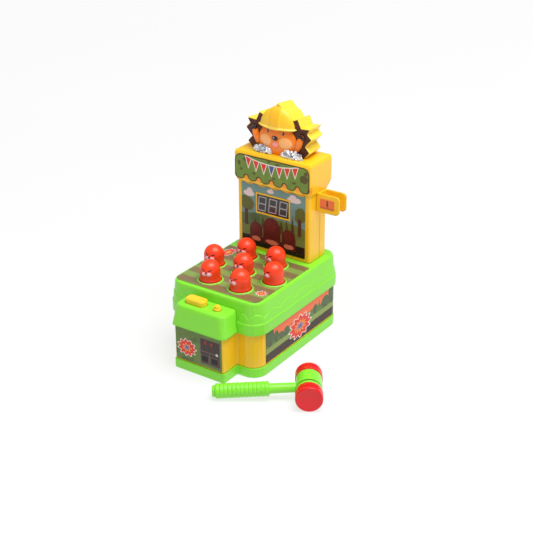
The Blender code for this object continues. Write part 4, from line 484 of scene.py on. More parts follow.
# Awning: a moulded yellow hood that drops over the top of the tower. Its front edge is cut into
# a valance of round lobes, with painted orange shade in the middle of each lobe, between the
# printed tongues.
valance_z, valance_rear_y = 182.0, 50.0
valance_shade_orange = tone(250, 140, 20)
lobe_pitch, lobe_count = 17.5, 5
arch_half = (4.4, 4.2)
_, shader, place, across, depth, up = new_material("awning_moulding", "XYZ", "awning_hood")
tooth = across.repeat(lobe_pitch, lobe_count)
# Painted shade: a soft orange patch in the middle of each lobe of the valance.
lobe_shade = oval(tooth, up, (0.0, valance_z), arch_half, soft=3.0) * depth.under(valance_rear_y) * 0.75
dye = mottled(place, sun_yellow)
skin(shader, place, dye.painted(lobe_shade, valance_shade_orange), edge_round=shell_round)

# Deck label: a printed film round the mole holes, with mown bands of green and brown
# and two small bursts of paper confetti.
band_pitch, band_middle = 23.3, 22.6
deck_bursts = (((46.4, -43.4), 4.6, 0.4, 1.0), ((-45.5, 22.3), 9.6, 1.3, 1.6))
burst_points, burst_depth, burst_margin = 9, 1.3, 0.9
heart_share, heart_points, heart_depth = 0.45, 7, 0.6
deck_green = tone(126, 154, 74)
deck_brown = tone(124, 106, 70)
burst_red = tone(228, 62, 50)
burst_orange = tone(246, 150, 60)
paper_white = tone(240, 232, 222)


def burst(across, up, radius, points, depth, turn=0.0):
    """Mask of a star of that many points round the place where both values are 0."""
    angle = up.worked("ARCTAN2", across) * float(points) + turn
    reach = (across * across + up * up).worked("SQRT")
    return (reach - angle.worked("COSINE") * depth).under(radius)


def film(shader, place, picture, roughness=0.4, coat=0.0):
    """Printed adhesive film: flat ink with a faint screen of dots under a satin varnish."""
    dots = place.node("TexVoronoi", {"Vector": place, "Scale": 900.0})
    faint = dots.under(0.35, 0.2) * 0.03
    skin(shader, place, picture.painted(faint, paper_white), roughness, peel=0.12, coat=coat, sheen=0.25)


def ragged(place, scale, swing):
    """Noise that swings by so many millimetres round 0, for edges that aren't straight."""
    return (clouds(place, scale) - 0.5) * swing


_, shader, place, across, depth = new_material("deck_film", "XY", "deck_label")
ruffle = ragged(place, 120.0, 2.4)
band = (depth + ruffle - band_middle) * (math.tau / band_pitch)
soil = mottled(place, deck_brown, 0.82, 1.18, 260.0)
grass = mottled(place, deck_green, 0.85, 1.15, 320.0)
picture = soil.painted(band.worked("COSINE").over(0.12, 0.35), grass)
for middle, radius, turn, narrow in deck_bursts:
    wide, deep = (across - middle[0]) * narrow, depth - middle[1]
    for reach, colour in ((radius + burst_margin, paper_white), (radius, burst_red)):
        picture = picture.painted(burst(wide, deep, reach, burst_points, burst_depth, turn), colour)
    heart = burst(wide, deep, radius * heart_share, heart_points, heart_depth)
    picture = picture.painted(heart, burst_orange)
film(shader, place, picture, coat=0.6)

# Side labels: a long strip of printed film on each flank, with a sunset sky, a wood,
# a strip of grass and dark soil, and a plain starburst in the middle.
sunset = tone(254, 120, 78)
wood_green = tone(100, 128, 66)
wood_dark = tone(74, 90, 58)
crown_green = tone(84, 106, 70)
trunk_grey = tone(84, 78, 66)
meadow = tone(138, 158, 84)
dark_soil = tone(66, 50, 46)
burst_blue = tone(70, 100, 170)
soil_z, meadow_z, thicket_z, fir_foot_z = 26.3, 33.0, 40.0, 26.0
shade_low, shade_high, trunk_half = 30.0, 42.0, (1.2, 7.0)
crowns = ((-48.5, 44.0, 8.5, 12.0), (-36.0, 40.0, 5.0, 6.5), (-25.0, 35.5, 5.0, 6.0),
          (-15.0, 37.0, 5.5, 6.0), (45.0, 39.0, 4.5, 5.5), (67.0, 38.5, 8.0, 8.0), (82.0, 42.0, 8.5, 14.0))
trunks = ((-47.5, 36.0), (-36.0, 34.0), (-25.0, 30.0), (-16.0, 31.0), (45.0, 32.0), (67.0, 33.0),
          (81.0, 36.0))
firs = ((-57.0, 48.0, 4.0), (53.5, 47.5, 4.2), (-5.0, 42.0, 4.5), (36.0, 40.0, 4.0))
star_middle, star_squeeze, star_points, star_depth = (13.065, 30.5), 0.62, 12, 1.8
star_rings = ((13.5, paper_white), (12.3, burst_red), (6.4, burst_orange), (3.4, burst_blue))


def fir(across, up, middle, foot, tip, half, soft=print_edge):
    """Mask of a pointed tree."""
    slope = half / (tip - foot)
    return (abs(across - middle) + up * slope).under(tip * slope, soft) * up.over(foot, soft)


_, shader, place, along, up = new_material("side_film", "YZ", "side_label_left", "side_label_right")
leaves = ragged(place, 380.0, 4.0)
leafy_along, leafy_up = along + leaves, up + leaves * 0.6
picture = (up * 0.04 - 1.2).between(deeper(sunset, 0.9), sunset)
for middle, tip, half in firs:
    picture = picture.painted(fir(leafy_along, up, middle, fir_foot_z, tip, half), wood_green)
tops = ragged(place, 95.0, 9.0)
picture = picture.painted((leafy_up + tops).under(thicket_z, 1.5), wood_green)
for middle, height, half, tall in crowns:
    picture = picture.painted(oval(leafy_along, leafy_up, (middle, height), (half, tall), 0.8), crown_green)
shade = clouds(place, 150.0).over(0.52, 0.1) * leafy_up.under(shade_high, 4.0) * leafy_up.over(shade_low, 2.0)
picture = picture.painted(shade * 0.35, wood_dark)
for middle, height in trunks:
    picture = picture.painted(bar(along, up, (middle, height - 4.0), trunk_half, 0.6), trunk_grey)
tufts = up + clouds(place, 500.0) * 3.0
picture = picture.painted(tufts.under(meadow_z), meadow).painted(tufts.under(soil_z), dark_soil)
wide, tall = (along - star_middle[0]) * star_squeeze, up - star_middle[1]
for radius, colour in star_rings:
    picture = picture.painted(burst(wide, tall, radius, star_points, star_depth), colour)
film(shader, place, picture)

# Console label: printed film on the console's front, with a plain starburst on the left and
# a drawn dark panel of two pockets, two lamps and a knob on the right.
console_green = tone(106, 128, 68)
panel_dark = tone(74, 60, 58)
panel_line = tone(112, 98, 92)
pocket_black = tone(42, 34, 34)
lamp_red = tone(170, 56, 44)
knob_pale = tone(214, 208, 196)
emblem_middle, emblem_squeeze, emblem_depth = (-16.463, 30.0), 0.82, 1.4
emblem_rings = ((9.9, 11, paper_white), (8.9, 11, burst_red), (4.5, 7, burst_orange), (2.3, 7, burst_blue))
panel_drawing = (
    ((15.5, 32.8), (13.6, 16.0), panel_line), ((15.5, 32.8), (12.9, 15.3), panel_dark),
    ((15.5, 32.5), (12.9, 0.5), panel_line), ((14.6, 24.6), (0.5, 7.6), panel_line),
    ((8.1, 23.4), (5.4, 4.6), panel_line), ((8.1, 23.4), (4.7, 3.9), pocket_black),
    ((21.2, 23.4), (5.4, 4.6), panel_line), ((21.2, 23.4), (4.7, 3.9), pocket_black),
    ((9.3, 43.8), (1.3, 2.0), lamp_red), ((17.5, 43.4), (1.3, 2.0), lamp_red))
knob_middle, knob_half = (24.6, 32.8), (1.7, 1.7)
_, shader, place, across, up = new_material("console_film", "XZ", "console_label")
picture = mottled(place, console_green, 0.8, 1.2, 160.0)
picture = picture.painted(clouds(place, 90.0).over(0.6, 0.1) * 0.5, panel_dark)
wide, tall = (across - emblem_middle[0]) * emblem_squeeze, up - emblem_middle[1]
for radius, points, colour in emblem_rings:
    picture = picture.painted(burst(wide, tall, radius, points, emblem_depth), colour)
for middle, half, colour in panel_drawing:
    picture = picture.painted(bar(across, up, middle, half), colour)
picture = picture.painted(oval(across, up, knob_middle, knob_half), knob_pale)
film(shader, place, picture)

# Tower label: printed film round the display frame, with an evening sky, clouds, a wood,
# a meadow and three plain heaps of dug earth in front.
evening = tone(110, 142, 136)
cloud_pink = tone(226, 202, 198)
olive = tone(98, 100, 44)
far_green = tone(84, 108, 62)
lit_green = tone(102, 114, 46)
fir_olive = tone(72, 70, 34)
scallop_gold = tone(252, 178, 40)
trunk_brown = tone(84, 50, 38)
near_meadow = tone(112, 126, 64)
night_soil = tone(36, 22, 18)
heap_brown = tone(96, 30, 24)
heap_top = tone(116, 42, 30)
dug_salmon = tone(222, 122, 96)
print_across, print_up = 1.1, 1.0
cloud_puffs = (((-32.2, 161.6), (7.6, 3.6)), ((-31.2, 164.6), (4.0, 4.0)), ((-2.4, 169.6), (4.8, 2.3)),
               ((-1.6, 171.2), (2.6, 2.2)), ((30.0, 166.4), (9.4, 3.4)), ((28.6, 169.0), (4.8, 3.6)),
               ((35.0, 166.8), (3.8, 3.0)))
far_firs = ((28.0, 148.5, 3.6), (20.0, 140.5, 4.0), (12.5, 139.0, 4.2), (-13.0, 138.0, 3.6))
tree_tops = (((-34.4, 148.6), (9.0, 8.6), olive), ((-37.5, 153.5), (5.4, 4.6), olive),
             ((-23.9, 132.9), (6.4, 6.4), deeper(far_green, 0.75)), ((38.9, 149.8), (7.4, 9.2), olive),
             ((36.0, 144.5), (5.0, 5.0), olive))
tree_trunks = (((-36.0, 130.5), (2.2, 11.0)), ((37.5, 134.0), (2.3, 11.0)), ((28.2, 126.0), (1.3, 9.0)),
               ((-24.0, 126.0), (0.8, 6.0)))
heaps = ((-22.5, 8.8, 128.0), (22.7, 9.6, 128.0), (-0.5, 12.2, 137.5))
heap_foot, heap_rim_z = 103.0, 106.6
scallop_x, scallop_z, scallop_half = 3.0, 178.0, (8.2, 4.7)
hill_z, far_fir_foot, grass_z, night_z = 137.0, 118.0, 120.5, 110.0
mottle_low, mottle_high, mottle_side = 138.0, 158.0, 27.0
_, shader, place, across, up = new_material("tower_film", "XZ", "screen_label")
across, up = across + print_across, up + print_up
leaves = ragged(place, 300.0, 3.6)
leafy_across, leafy_up = across + leaves, up + leaves * 0.7
picture = (up * 0.012 - 1.1).between(deeper(evening, 0.8), deeper(evening, 1.1))
for middle, half in cloud_puffs:
    picture = picture.painted(oval(across, up, middle, half, 0.5), cloud_pink)
hills = (leafy_up + (across * across) * 0.004 - abs(across - 8.0) * 0.12).under(hill_z, 1.5)
picture = picture.painted(hills, (across * 0.02 + 0.5).between(far_green, lit_green))
for middle, tip, half in far_firs:
    picture = picture.painted(fir(leafy_across, up, middle, far_fir_foot, tip, half), fir_olive)
for middle, half, colour in tree_tops:
    picture = picture.painted(oval(leafy_across, leafy_up, middle, half, 0.8), colour)
treed = leafy_up.over(mottle_low, 2.0) * leafy_up.under(mottle_high, 2.0)
mottle = clouds(place, 420.0).over(0.55, 0.12) * treed * abs(across).over(mottle_side, 2.0) * 0.3
picture = picture.painted(mottle, deeper(olive, 0.6))
for middle, half in tree_trunks:
    picture = picture.painted(bar(across + leaves * 0.2, up, middle, half), trunk_brown)
blades = up + ragged(place, 520.0, 3.2)
picture = picture.painted((blades + across * 0.03).under(grass_z, 1.2), near_meadow)
picture = picture.painted((blades - across * 0.02).under(night_z), night_soil)
crumbs = ragged(place, 620.0, 3.0)
for middle, half, tip in heaps:
    shoulder = tip - half * 1.2
    body = bar(across, up, (middle, (shoulder + heap_foot) / 2), (half, (shoulder - heap_foot) / 2))
    heap = oval(across, up, (middle, shoulder), (half, half * 1.2)).either(body)
    lit = oval(across, up, (middle - 1.5, tip - half * 0.9), (half * 0.6, half * 0.6), 2.5) * 0.5
    rim = oval(across + crumbs, up + crumbs, (middle, heap_rim_z), (half * 0.72, 2.9), 0.4)
    picture = picture.painted(heap, heap_brown).painted(lit, heap_top).painted(rim, dug_salmon)
hung = (across - scallop_x).repeat(lobe_pitch, lobe_count)
picture = picture.painted(oval(hung, up, (0.0, scallop_z), scallop_half), scallop_gold)
film(shader, place, picture)

# Awning label: printed film on the hood's front with a dark line round its edge and lobes,
# and a string of plain pennants across the middle.
awning_green = tone(116, 142, 60)
edge_brown = tone(84, 58, 36)
blotch_brown = tone(84, 66, 40)
pennant_blue = tone(84, 88, 150)
pennant_pitch, pennant_count, pennant_z, pennant_half = 10.6, 7, 198.9, 2.95
pennant_drop, pennant_rise, string_rise, string_half = 9.0, 2.6, 2.9, (44.0, 0.5)
blotches = (((43.5, 194.5), (5.4, 5.0)), ((46.0, 201.5), (2.6, 2.0)), ((-44.5, 197.0), (2.0, 3.2)),
            ((-36.5, 202.5), (2.2, 2.6)), ((-42.0, 190.0), (1.6, 1.6)), ((-24.0, 187.6), (2.4, 1.2)),
            ((3.0, 187.0), (2.4, 1.2)), ((30.5, 187.5), (2.6, 1.3)), ((8.0, 204.5), (3.0, 1.2)),
            ((-3.5, 205.5), (2.2, 1.0)))
sheet_half, sheet_top, sheet_corner = 42.1, 199.7, 7.3
notch_z, notch_half, tongue_half = 181.1, (3.9, 3.9), (4.9, 2.4)
_, shader, place, across, up = new_material("awning_film", "XZ", "awning_label")
picture = mottled(place, awning_green, 0.7, 1.2, 110.0)
rough = ragged(place, 520.0, 2.6)
for middle, half in blotches:
    picture = picture.painted(oval(across + rough, up + rough, middle, half, 0.5) * 0.85, blotch_brown)
pennant = across.repeat(pennant_pitch, pennant_count)
hanging = up - across * across * 0.004 - pennant_z
reach = abs(across).under(pennant_count / 2 * pennant_pitch)


def pennants(margin):
    """Mask of the row of pennants, wider all round by a margin."""
    flap = (abs(pennant) - hanging * 0.34).under(pennant_half + margin)
    return flap * hanging.over(-pennant_drop - margin * 2) * hanging.under(pennant_rise + margin) * reach


string = bar(across, hanging, (0.0, string_rise), string_half)
middle_one = pennants(0.0) * abs(across).under(pennant_pitch / 2)
picture = picture.painted(pennants(0.9), paper_white).painted(pennants(0.0), burst_red)
picture = picture.painted(middle_one, pennant_blue).painted(string, paper_white)
tooth = across.repeat(lobe_pitch, lobe_count)
side = (abs(across) - sheet_half).either(0.0)
top = (up - sheet_top).either(0.0)
within = (side * side + top * top).under(sheet_corner ** 2, 4.4)
notch = oval(tooth, up, (0.0, notch_z), notch_half)
tongue = oval(lobe_pitch / 2 - abs(tooth), up, (0.0, notch_z), tongue_half)
inside = within * (up.over(notch_z) * (1 - notch)).either(tongue)
film(shader, place, picture.painted(1 - inside, edge_brown))

# Mallet fork and its label: a yellow clip pegged to the tower's flank, which holds the mallet
# by its shaft. Its face carries a small orange film with one leafy stem.
stem_brown = tone(96, 58, 34)
leaf_dark = tone(70, 78, 40)
clip_orange = tone(238, 116, 72)
ground_z = 160.6
stem_middle, stem_half = (65.0, 164.0), (0.5, 3.6)
leaf_heights = ((162.8, 1.5), (164.8, 1.5), (166.6, 1.3), (168.2, 0.8))
dress(yellow_moulding, "mallet_clip")
_, shader, place, across, up = new_material("clip_film", "XZ", "clip_label")
wobble = ragged(place, 500.0, 1.6)
picture = mottled(place, clip_orange, 0.9, 1.08, 90.0)
picture = picture.painted(up.under(ground_z), deeper(clip_orange, 0.75))
picture = picture.painted(bar(across + wobble * 0.3, up, stem_middle, stem_half), stem_brown)
for height, half in leaf_heights:
    leaf = oval(across + wobble * 0.4, up, (stem_middle[0], height), (half, 0.8))
    picture = picture.painted(leaf, leaf_dark)
film(shader, place, picture)

# Crown: a hollow yellow moulding with a jagged outline, pegged through the hood, and a printed
# card of brown earth let into its front. Its yellow is paler than the tower's: painted light, for
# the brighter light on the top of the toy.
earth_brown = tone(92, 50, 36)
earth_dark = tone(58, 32, 26)
crown_lit_yellow = tone(255, 212, 62)
card_top_z, card_top_half = 262.0, 12.0
# Painted highlight: the crown gets a paler copy of the yellow, as lit more than the tower below it.
dress(moulded("crown_lit_moulding", crown_lit_yellow), "crown_shell")
_, shader, place, across, up = new_material("crown_card", "XZ", "crown_backing")
picture = clouds(place, 130.0).between(earth_dark, deeper(earth_brown, 1.25))
picture = picture.painted(clouds(place, 600.0).over(0.58, 0.08) * 0.5, earth_dark)
picture = picture.painted(up.over(card_top_z) * abs(across).under(card_top_half), sun_yellow)
film(shader, place, picture, roughness=0.5)

# Crown animal: a burrowing animal's head and raised paws in orange relief, moulded as one shell
# and painted: pale cheeks, a dark nose, two calm eyes and short dark claws.
relief_y = 58.3
crown_z = 212.8
head_middle = (0.0, relief_y, 227.8)
head_half = (25.5, 6.2, 21.0)
head_top = 243.6
paw_x, paw_z, paw_half, paw_lean = 28.6, 229.6, (4.2, 4.2, 11.5), 20.0
claw_count, claw_half, claw_reach, claw_spread, claw_top = 3, (1.5, 2.2, 2.9), 9.6, 2.7, 246.0
claw_stand, claw_droop, claw_fan = 1.6, 0.25, 5.0
pelt_orange = tone(255, 128, 22)
cheek_beige = tone(255, 178, 106)
lip_pink = tone(250, 152, 150)
claw_dark = tone(48, 34, 32)
cheek = (13.4, 228.2), (8.0, 6.7), 1.2, 0.5, cheek_beige
mouth = (0.0, 225.0), (3.9, 2.8), 1.0, print_edge, lip_pink
muzzle = (0.0, 232.4), (4.2, 2.7), 1.6, print_edge, claw_dark
eye = (10.2, 239.0), (1.5, 2.0), 0.5, print_edge, claw_dark
eye_glint = (9.8, 239.8), (0.4, 0.5), 0.0, 0.15, paper_white
muzzle_glint, muzzle_glint_half = (-1.0, 233.4), (0.9, 0.5)


def egg(work, middle, half, lean=0.0, columns=72, rows=48):
    """Adds a round form of that middle and half size, leaning to one side, and returns its corners."""
    made = bmesh.ops.create_uvsphere(work, u_segments=columns, v_segments=rows, radius=1.0)["verts"]
    matrix = Matrix.Translation(Vector(middle) * mm) @ Matrix.Rotation(math.radians(lean), 4, "Y") \
        @ Matrix.Diagonal((*(part * mm for part in half), 1.0))
    bmesh.ops.transform(work, matrix=matrix, verts=made)
    return made


def flatten(corners, low, high, back=relief_y):
    """Flattens a round form on the card behind it and between two heights."""
    for corner in corners:
        corner.co.y = min(corner.co.y, back * mm)
        corner.co.z = min(max(corner.co.z, low * mm), high * mm)


pelt, shader, place, across, up = new_material("animal_pelt", "XZ")
mirrored = abs(across)
hair = stretched(place, 900.0, (1.0, 1.0, 0.3)).over(0.6, 0.1) * 0.3
paint = mottled(place, pelt_orange, 0.88, 1.12, 60.0).painted(hair, deeper(pelt_orange, 0.7))
for middle, half, _, soft, colour in (cheek, mouth, muzzle, eye, eye_glint):
    paint = paint.painted(oval(mirrored, up, middle, half, soft), colour)
paint = paint.painted(oval(across, up, muzzle_glint, muzzle_glint_half), paper_white)
skin(shader, place, paint, 0.3, coat=0.4)
claw_paint = moulded("claw_paint", claw_dark, roughness=0.3)

work = bmesh.new()
head = egg(work, head_middle, head_half, columns=128, rows=96)
for corner in head:
    across, up = abs(corner.co.x) / mm, corner.co.z / mm
    if corner.co.y < relief_y * mm:
        corner.co.y -= max(hill(across, up, *part[:3]) for part in (cheek, muzzle, mouth, eye)) * mm
flatten(head, crown_z, head_top)
for side in (-1, 1):
    flatten(egg(work, (side * paw_x, relief_y, paw_z), paw_half, side * paw_lean), crown_z, head_top)
make_piece("crown_animal", work, pelt, "cabinet", "orange_plastic", "crown_mole", smooth=60.0)

work = bmesh.new()
lean = math.radians(paw_lean)
for side in (-1, 1):
    tip = Vector((side * (paw_x + claw_reach * math.sin(lean)), relief_y - claw_stand,
                  paw_z + claw_reach * math.cos(lean)))
    for claw in range(claw_count):
        fan = (claw - (claw_count - 1) / 2) * claw_spread
        drop = abs(fan) * claw_droop + side * fan * math.sin(lean)
        middle = tip + Vector((fan * math.cos(lean), 0, -drop))
        flatten(egg(work, middle, claw_half, side * paw_lean + fan * claw_fan, 24, 16), crown_z, claw_top)
make_piece("crown_claws", work, claw_paint, "cabinet", "orange_plastic", smooth=60.0)

# Hard hat: a yellow shell in relief over the head, with a broad raised rib and a rolled brim,
# moulded in one piece and glued to the crown's card. The brim is painted a lighter yellow, a
# painted highlight.
hat_foot, hat_top, hat_half = 243.3, 275.0, (23.2, 8.6, 24.2)
hat_rib_half, hat_rib_stand, hat_rib_edge = 6.4, 1.1, 1.2
brim_half, brim_z, brim_top = (25.4, 9.8, 2.1), 244.8, 246.6
hat_shade = tone(250, 160, 34)
hat_yellow = tone(255, 198, 44)
brim_highlight_yellow = tone(255, 218, 92)
hat_shell, shader, place, across, up = new_material("hat_shell", "XZ")
rib = abs(across).under(hat_rib_half, hat_rib_edge) * up.over(brim_top, 1.0) * 0.35
paint = mottled(place, hat_yellow, 0.92, 1.05, 26.0).painted(rib, hat_shade)
# Painted highlight: the hat below brim_top, its brim, is painted a lighter yellow.
skin(shader, place, paint.painted(up.under(brim_top, 0.8), brim_highlight_yellow), 0.42, coat=0.1)
work = bmesh.new()
hat = egg(work, (0.0, relief_y, hat_foot - 0.7), hat_half, columns=128, rows=96)
for corner in hat:
    across = abs(corner.co.x) / mm
    rise = (corner.co - Vector((0, relief_y, hat_foot)) * mm).normalized()
    crest = min(max((hat_rib_half - across) / hat_rib_edge + 0.5, 0.0), 1.0)
    corner.co += rise * hat_rib_stand * crest * crest * (3 - 2 * crest) * mm
flatten(hat, hat_foot, hat_top)
flatten(egg(work, (0.0, relief_y, brim_z), brim_half, columns=96, rows=24), hat_foot, hat_top)
make_piece("crown_hat", work, hat_shell, "cabinet", "yellow_plastic", "crown_helmet", smooth=50.0)

# Rubble: two heaps of small angular lumps at the foot of the crown, metallised silver and
# moulded in one piece each, as vacuum-coated plastic trim is.
rubble_silver = tone(244, 245, 248)
rubble_shadow = tone(150, 154, 168)
rubble_heaps = (("left", -17.5, 14.2), ("right", 22.0, 16.5))
heap_half_depth, heap_front_y, heap_height = 3.6, 49.4, 9.5
rubble_front_y = 48.6
lump_count, lump_size = 34, (2.0, 3.4)
lump_squeeze, lump_wear = (1.15, 0.8, 0.7), (0.72, 1.05)
rubble_seed = 7
rubble_coat, shader, place = new_material("rubble_coat")
facets = place.node("TexVoronoi", {"Vector": place, "Scale": 300.0}, output="Color")
glint = facets.node("SeparateXYZ", {0: facets})
silver = glint.between(rubble_shadow, rubble_silver).painted(glint.over(0.35, 0.2), rubble_silver)
silver.into(shader, "Base Color")
(clouds(place, 500.0) * 0.2 + 0.1).into(shader, "Roughness")
(glint * 0.4 + 0.2).into(shader, "Metallic")
pits = clouds(place, 900.0)
pits.node("Bump", {"Height": pits, "Strength": 0.1, "Distance": 0.2 * mm}).into(shader, "Normal")
dice = random.Random(rubble_seed)
for label, heap_x, half_width in rubble_heaps:
    work = bmesh.new()
    egg(work, (heap_x, heap_front_y + heap_half_depth + 1.0, crown_z),
        (half_width - 2.0, heap_half_depth - 0.6, heap_height - 2.2), columns=24, rows=16)
    for _ in range(lump_count):
        turn, lift = dice.uniform(0, math.pi), dice.uniform(0, 1) ** 0.8
        across = math.cos(turn) * math.sqrt(1 - (lift * 0.92) ** 2)
        size = dice.uniform(*lump_size)
        middle = Vector((heap_x + (half_width - size) * across,
                         heap_front_y + heap_half_depth - (heap_half_depth - size * 0.6)
                         * math.sqrt(max(1 - across ** 2 - (lift * 0.9) ** 2, 0)),
                         crown_z + lift * (heap_height - size * 0.7)))
        stone = bmesh.ops.create_icosphere(work, subdivisions=1, radius=size * mm)["verts"]
        turned_about = Euler([dice.uniform(0, math.tau) for _ in range(3)]).to_matrix()
        for corner in stone:
            shaped = corner.co * Vector(lump_squeeze) * dice.uniform(*lump_wear)
            corner.co = turned_about @ shaped + middle * mm
    for corner in work.verts:
        corner.co.z = max(corner.co.z, crown_z * mm)
        corner.co.y = min(max(corner.co.y, rubble_front_y * mm), relief_y * mm)
    make_piece(f"rubble_{label}", work, rubble_coat, "cabinet", "silver_plastic",
               f"crown_gravel_{label}", smooth=0)

# Mallet: a ribbed green handle pressed into a green barrel, with two soft red striking faces
# that plug into the barrel's ends. It lies on its head and on the end of its grip.
mallet_place, mallet_turn = (126.5, -71.0, 15.0), 33.0
handle_length = 103.5
grip_radius, grip_length = 8.2, 61.0
grip_end_radius, grip_end, grip_end_round = 6.4, 3.6, 1.2
rib_count, rib_depth, rib_steps = 13, 0.6, 10
shaft_radii, shaft_stop = (5.6, 5.2), -5.3
barrel_half, barrel_radius, barrel_edge = 13.5, 14.3, 0.8
groove_middle, groove_half, groove_depth = -8.6, 1.1, 3.4
face_radius, face_length, face_gap, face_round = 14.9, 13.0, 0.3, 1.8
face_groove, face_groove_half, face_groove_depth = 6.6, 0.9, 1.8
flat_radius, flat_dip = 13.1, 0.35
mallet_red = tone(226, 24, 32)
mallet_dye = tone(128, 224, 54)
groove_shade = tone(70, 132, 30)
mallet_green = moulded("mallet_green", mallet_dye)
face_red = moulded("face_red", mallet_red, roughness=0.3)
mallet_lean = math.asin((face_radius - grip_radius) / handle_length)
laid = Matrix.Translation(Vector(mallet_place) * mm) \
    @ Euler((0, -mallet_lean, math.radians(mallet_turn))).to_matrix().to_4x4()
along_handle = laid @ Matrix.Rotation(math.pi / 2, 4, "Y")
along_barrel = laid @ Matrix.Rotation(-math.pi / 2, 4, "X")


def quarter(radius, height, size, turn, steps=6):
    """The rounded corner of a profile from its side to its end, at its top or, with turn -1, its foot."""
    bend = [math.pi / 2 * step / steps for step in range(steps + 1)]
    return [(radius - size + size * math.cos(angle), height - turn * size * (1 - math.sin(angle)))
            for angle in bend]


foot = -handle_length
profile = [(0.0, foot)] + quarter(grip_end_radius, foot, grip_end_round, -1, 4)[::-1] \
    + [(grip_end_radius, foot + grip_end - 0.2)]
rib_pitch = (grip_length - grip_end) / rib_count
for rib in range(rib_count):
    start = foot + grip_end + rib * rib_pitch
    for step in range(rib_steps):
        share = step / rib_steps
        swell = min(max(math.sin(math.pi * share) * 1.6, 0.0), 1.0)
        profile.append((grip_radius - rib_depth * (1 - swell), start + rib_pitch * share))
grip_stop = foot + grip_length
profile += [(grip_radius - rib_depth, grip_stop - 0.1), (shaft_radii[0] + 0.8, grip_stop + 0.2),
            (shaft_radii[0] + 0.2, grip_stop + 0.5), (shaft_radii[0], grip_stop + 1.2),
            (shaft_radii[1], shaft_stop), (0.0, shaft_stop)]
make_piece("mallet_grip", lathe(profile, 64, along_handle), mallet_green, "mallet", "green_plastic",
           "mallet_handle")


def groove(radius, middle, half, depth, steps=6):
    """A rounded groove in the side of a profile."""
    return [(radius - depth * math.sin(math.pi * step / steps), middle - half + 2 * half * step / steps)
            for step in range(steps + 1)]


profile = [(0.0, -barrel_half), (barrel_radius - barrel_edge, -barrel_half),
           (barrel_radius, -barrel_half + barrel_edge)] \
    + groove(barrel_radius, groove_middle, groove_half, groove_depth) \
    + [(barrel_radius, barrel_half - barrel_edge), (barrel_radius - barrel_edge, barrel_half),
       (0.0, barrel_half)]
barrel_green, shader, place = new_material("barrel_green")
barrel_axis = along_barrel.to_3x3() @ Vector((0.0, 0.0, 1.0))
along = place.node("VectorMath", {0: place, 1: barrel_axis}, output=1, operation="DOT_PRODUCT") / mm \
    - barrel_axis.dot(Vector(mallet_place))
sunk = abs(along - groove_middle).under(groove_half, 0.4) * 0.8
skin(shader, place, mottled(place, mallet_dye).painted(sunk, groove_shade))
make_piece("mallet_barrel", lathe(profile, 96, along_barrel), barrel_green, "mallet", "green_plastic",
           "mallet_head")

near = barrel_half + face_gap
far = near + face_length
profile = [(0.0, near), (face_radius - barrel_edge, near), (face_radius, near + barrel_edge)] \
    + groove(face_radius, near + face_groove, face_groove_half, face_groove_depth) \
    + quarter(face_radius, far, face_round, 1) \
    + [(flat_radius - 0.8, far), (flat_radius - 1.6, far - flat_dip), (0.0, far - flat_dip)]
for label, turned_over in (("front", 0.0), ("rear", math.pi)):
    plugged_in = along_barrel @ Matrix.Rotation(turned_over, 4, "X")
    make_piece(f"striking_face_{label}", lathe(profile, 96, plugged_in), face_red, "mallet",
               "mallet_red_plastic", f"mallet_face_{label}")

# Floor, light and camera: a plain pale table, a broad lamp high on the right, a weaker one in
# front, an even white sky, and the camera where the photograph was taken from.
table_white = tone(252, 252, 252)
plain_white, glow_near = (1.0, 1.0, 1.0, 1.0), (0.9, 0.9, 0.9, 1.0)
glow_strength, glow_reach, glow_soft = 0.8, 1.0, 1.6
sky_strength = 0.36
table_half = 6.0
camera_place = (0.6859, -0.9631, 0.6679)
camera_angles = (34.513, 25.883, -0.306)
photo_width, focal_pixels, sensor_width = 533.0, 1157.4, 36.0

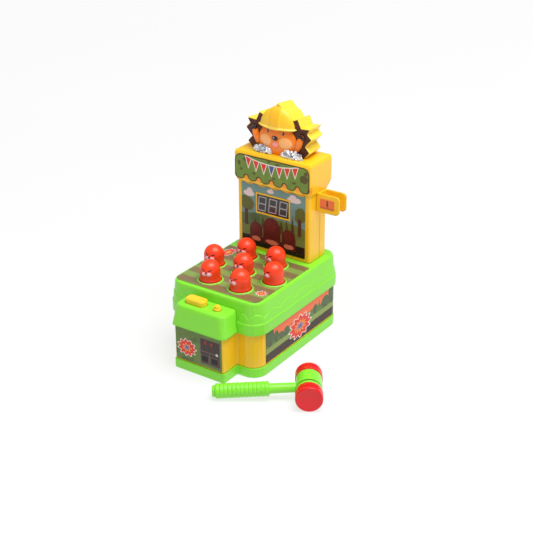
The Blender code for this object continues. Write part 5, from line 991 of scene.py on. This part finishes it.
floor_mesh = bpy.data.meshes.new("table_top")
floor_mesh.from_pydata([(table_half * x, table_half * y, 0) for x, y in ((-1, -1), (1, -1), (1, 1), (-1, 1))],
                       [], [(0, 1, 2, 3)])
floor = bpy.data.objects.new("table_top", floor_mesh)
bpy.context.scene.collection.objects.link(floor)
table_finish, shader, place = new_material("table_finish")
mottled(place, table_white, 0.21, 0.23, 3.0).into(shader, "Base Color")
shader.inputs["Roughness"].default_value = 0.8
outward = place.node("VectorMath", {0: place}, output="Value", operation="LENGTH")
outward.over(glow_reach, glow_soft).between(glow_near, plain_white).into(shader, "Emission Color")
shader.inputs["Emission Strength"].default_value = glow_strength
floor_mesh.materials.append(table_finish)

world = bpy.data.worlds.new("studio_sky")
world.use_nodes = True
sky = world.node_tree.nodes["Background"]
sky.inputs["Color"].default_value = plain_white
sky.inputs["Strength"].default_value = sky_strength
bpy.context.scene.world = world


def lamp(name, place, aim, size, power):
    """A broad soft lamp that faces a point."""
    light = bpy.data.lights.new(name, "AREA")
    light.shape = "DISK"
    light.size = size
    light.energy = power
    made = bpy.data.objects.new(name, light)
    made.location = place
    made.rotation_euler = (Vector(place) - Vector(aim)).to_track_quat("Z", "Y").to_euler()
    bpy.context.scene.collection.objects.link(made)


lamp("key_lamp", (0.84, 0.1, 2.3), aim=(0.0, 0.0, 0.1), size=1.8, power=60.0)
lamp("front_lamp", (0.1, -0.28, 0.78), aim=(0.0, 0.04, 0.2), size=0.4, power=1.25)

azimuth, elevation, roll = (math.radians(angle) for angle in camera_angles)
back = Vector((math.sin(azimuth) * math.cos(elevation), -math.cos(azimuth) * math.cos(elevation),
               math.sin(elevation)))
right = Vector((math.cos(azimuth), math.sin(azimuth), 0.0))
axes = Matrix((right, back.cross(right), back)).transposed().to_4x4()
lens = bpy.data.cameras.new("photo_camera")
lens.sensor_width = sensor_width
lens.lens = sensor_width * focal_pixels / photo_width
lens.clip_start, lens.clip_end = 0.01, 50.0
camera = bpy.data.objects.new("photo_camera", lens)
camera.matrix_world = Matrix.Translation(camera_place) @ axes @ Matrix.Rotation(roll, 4, "Z")
bpy.context.scene.collection.objects.link(camera)
bpy.context.scene.camera = camera
bpy.context.scene.view_settings.view_transform = "Standard"
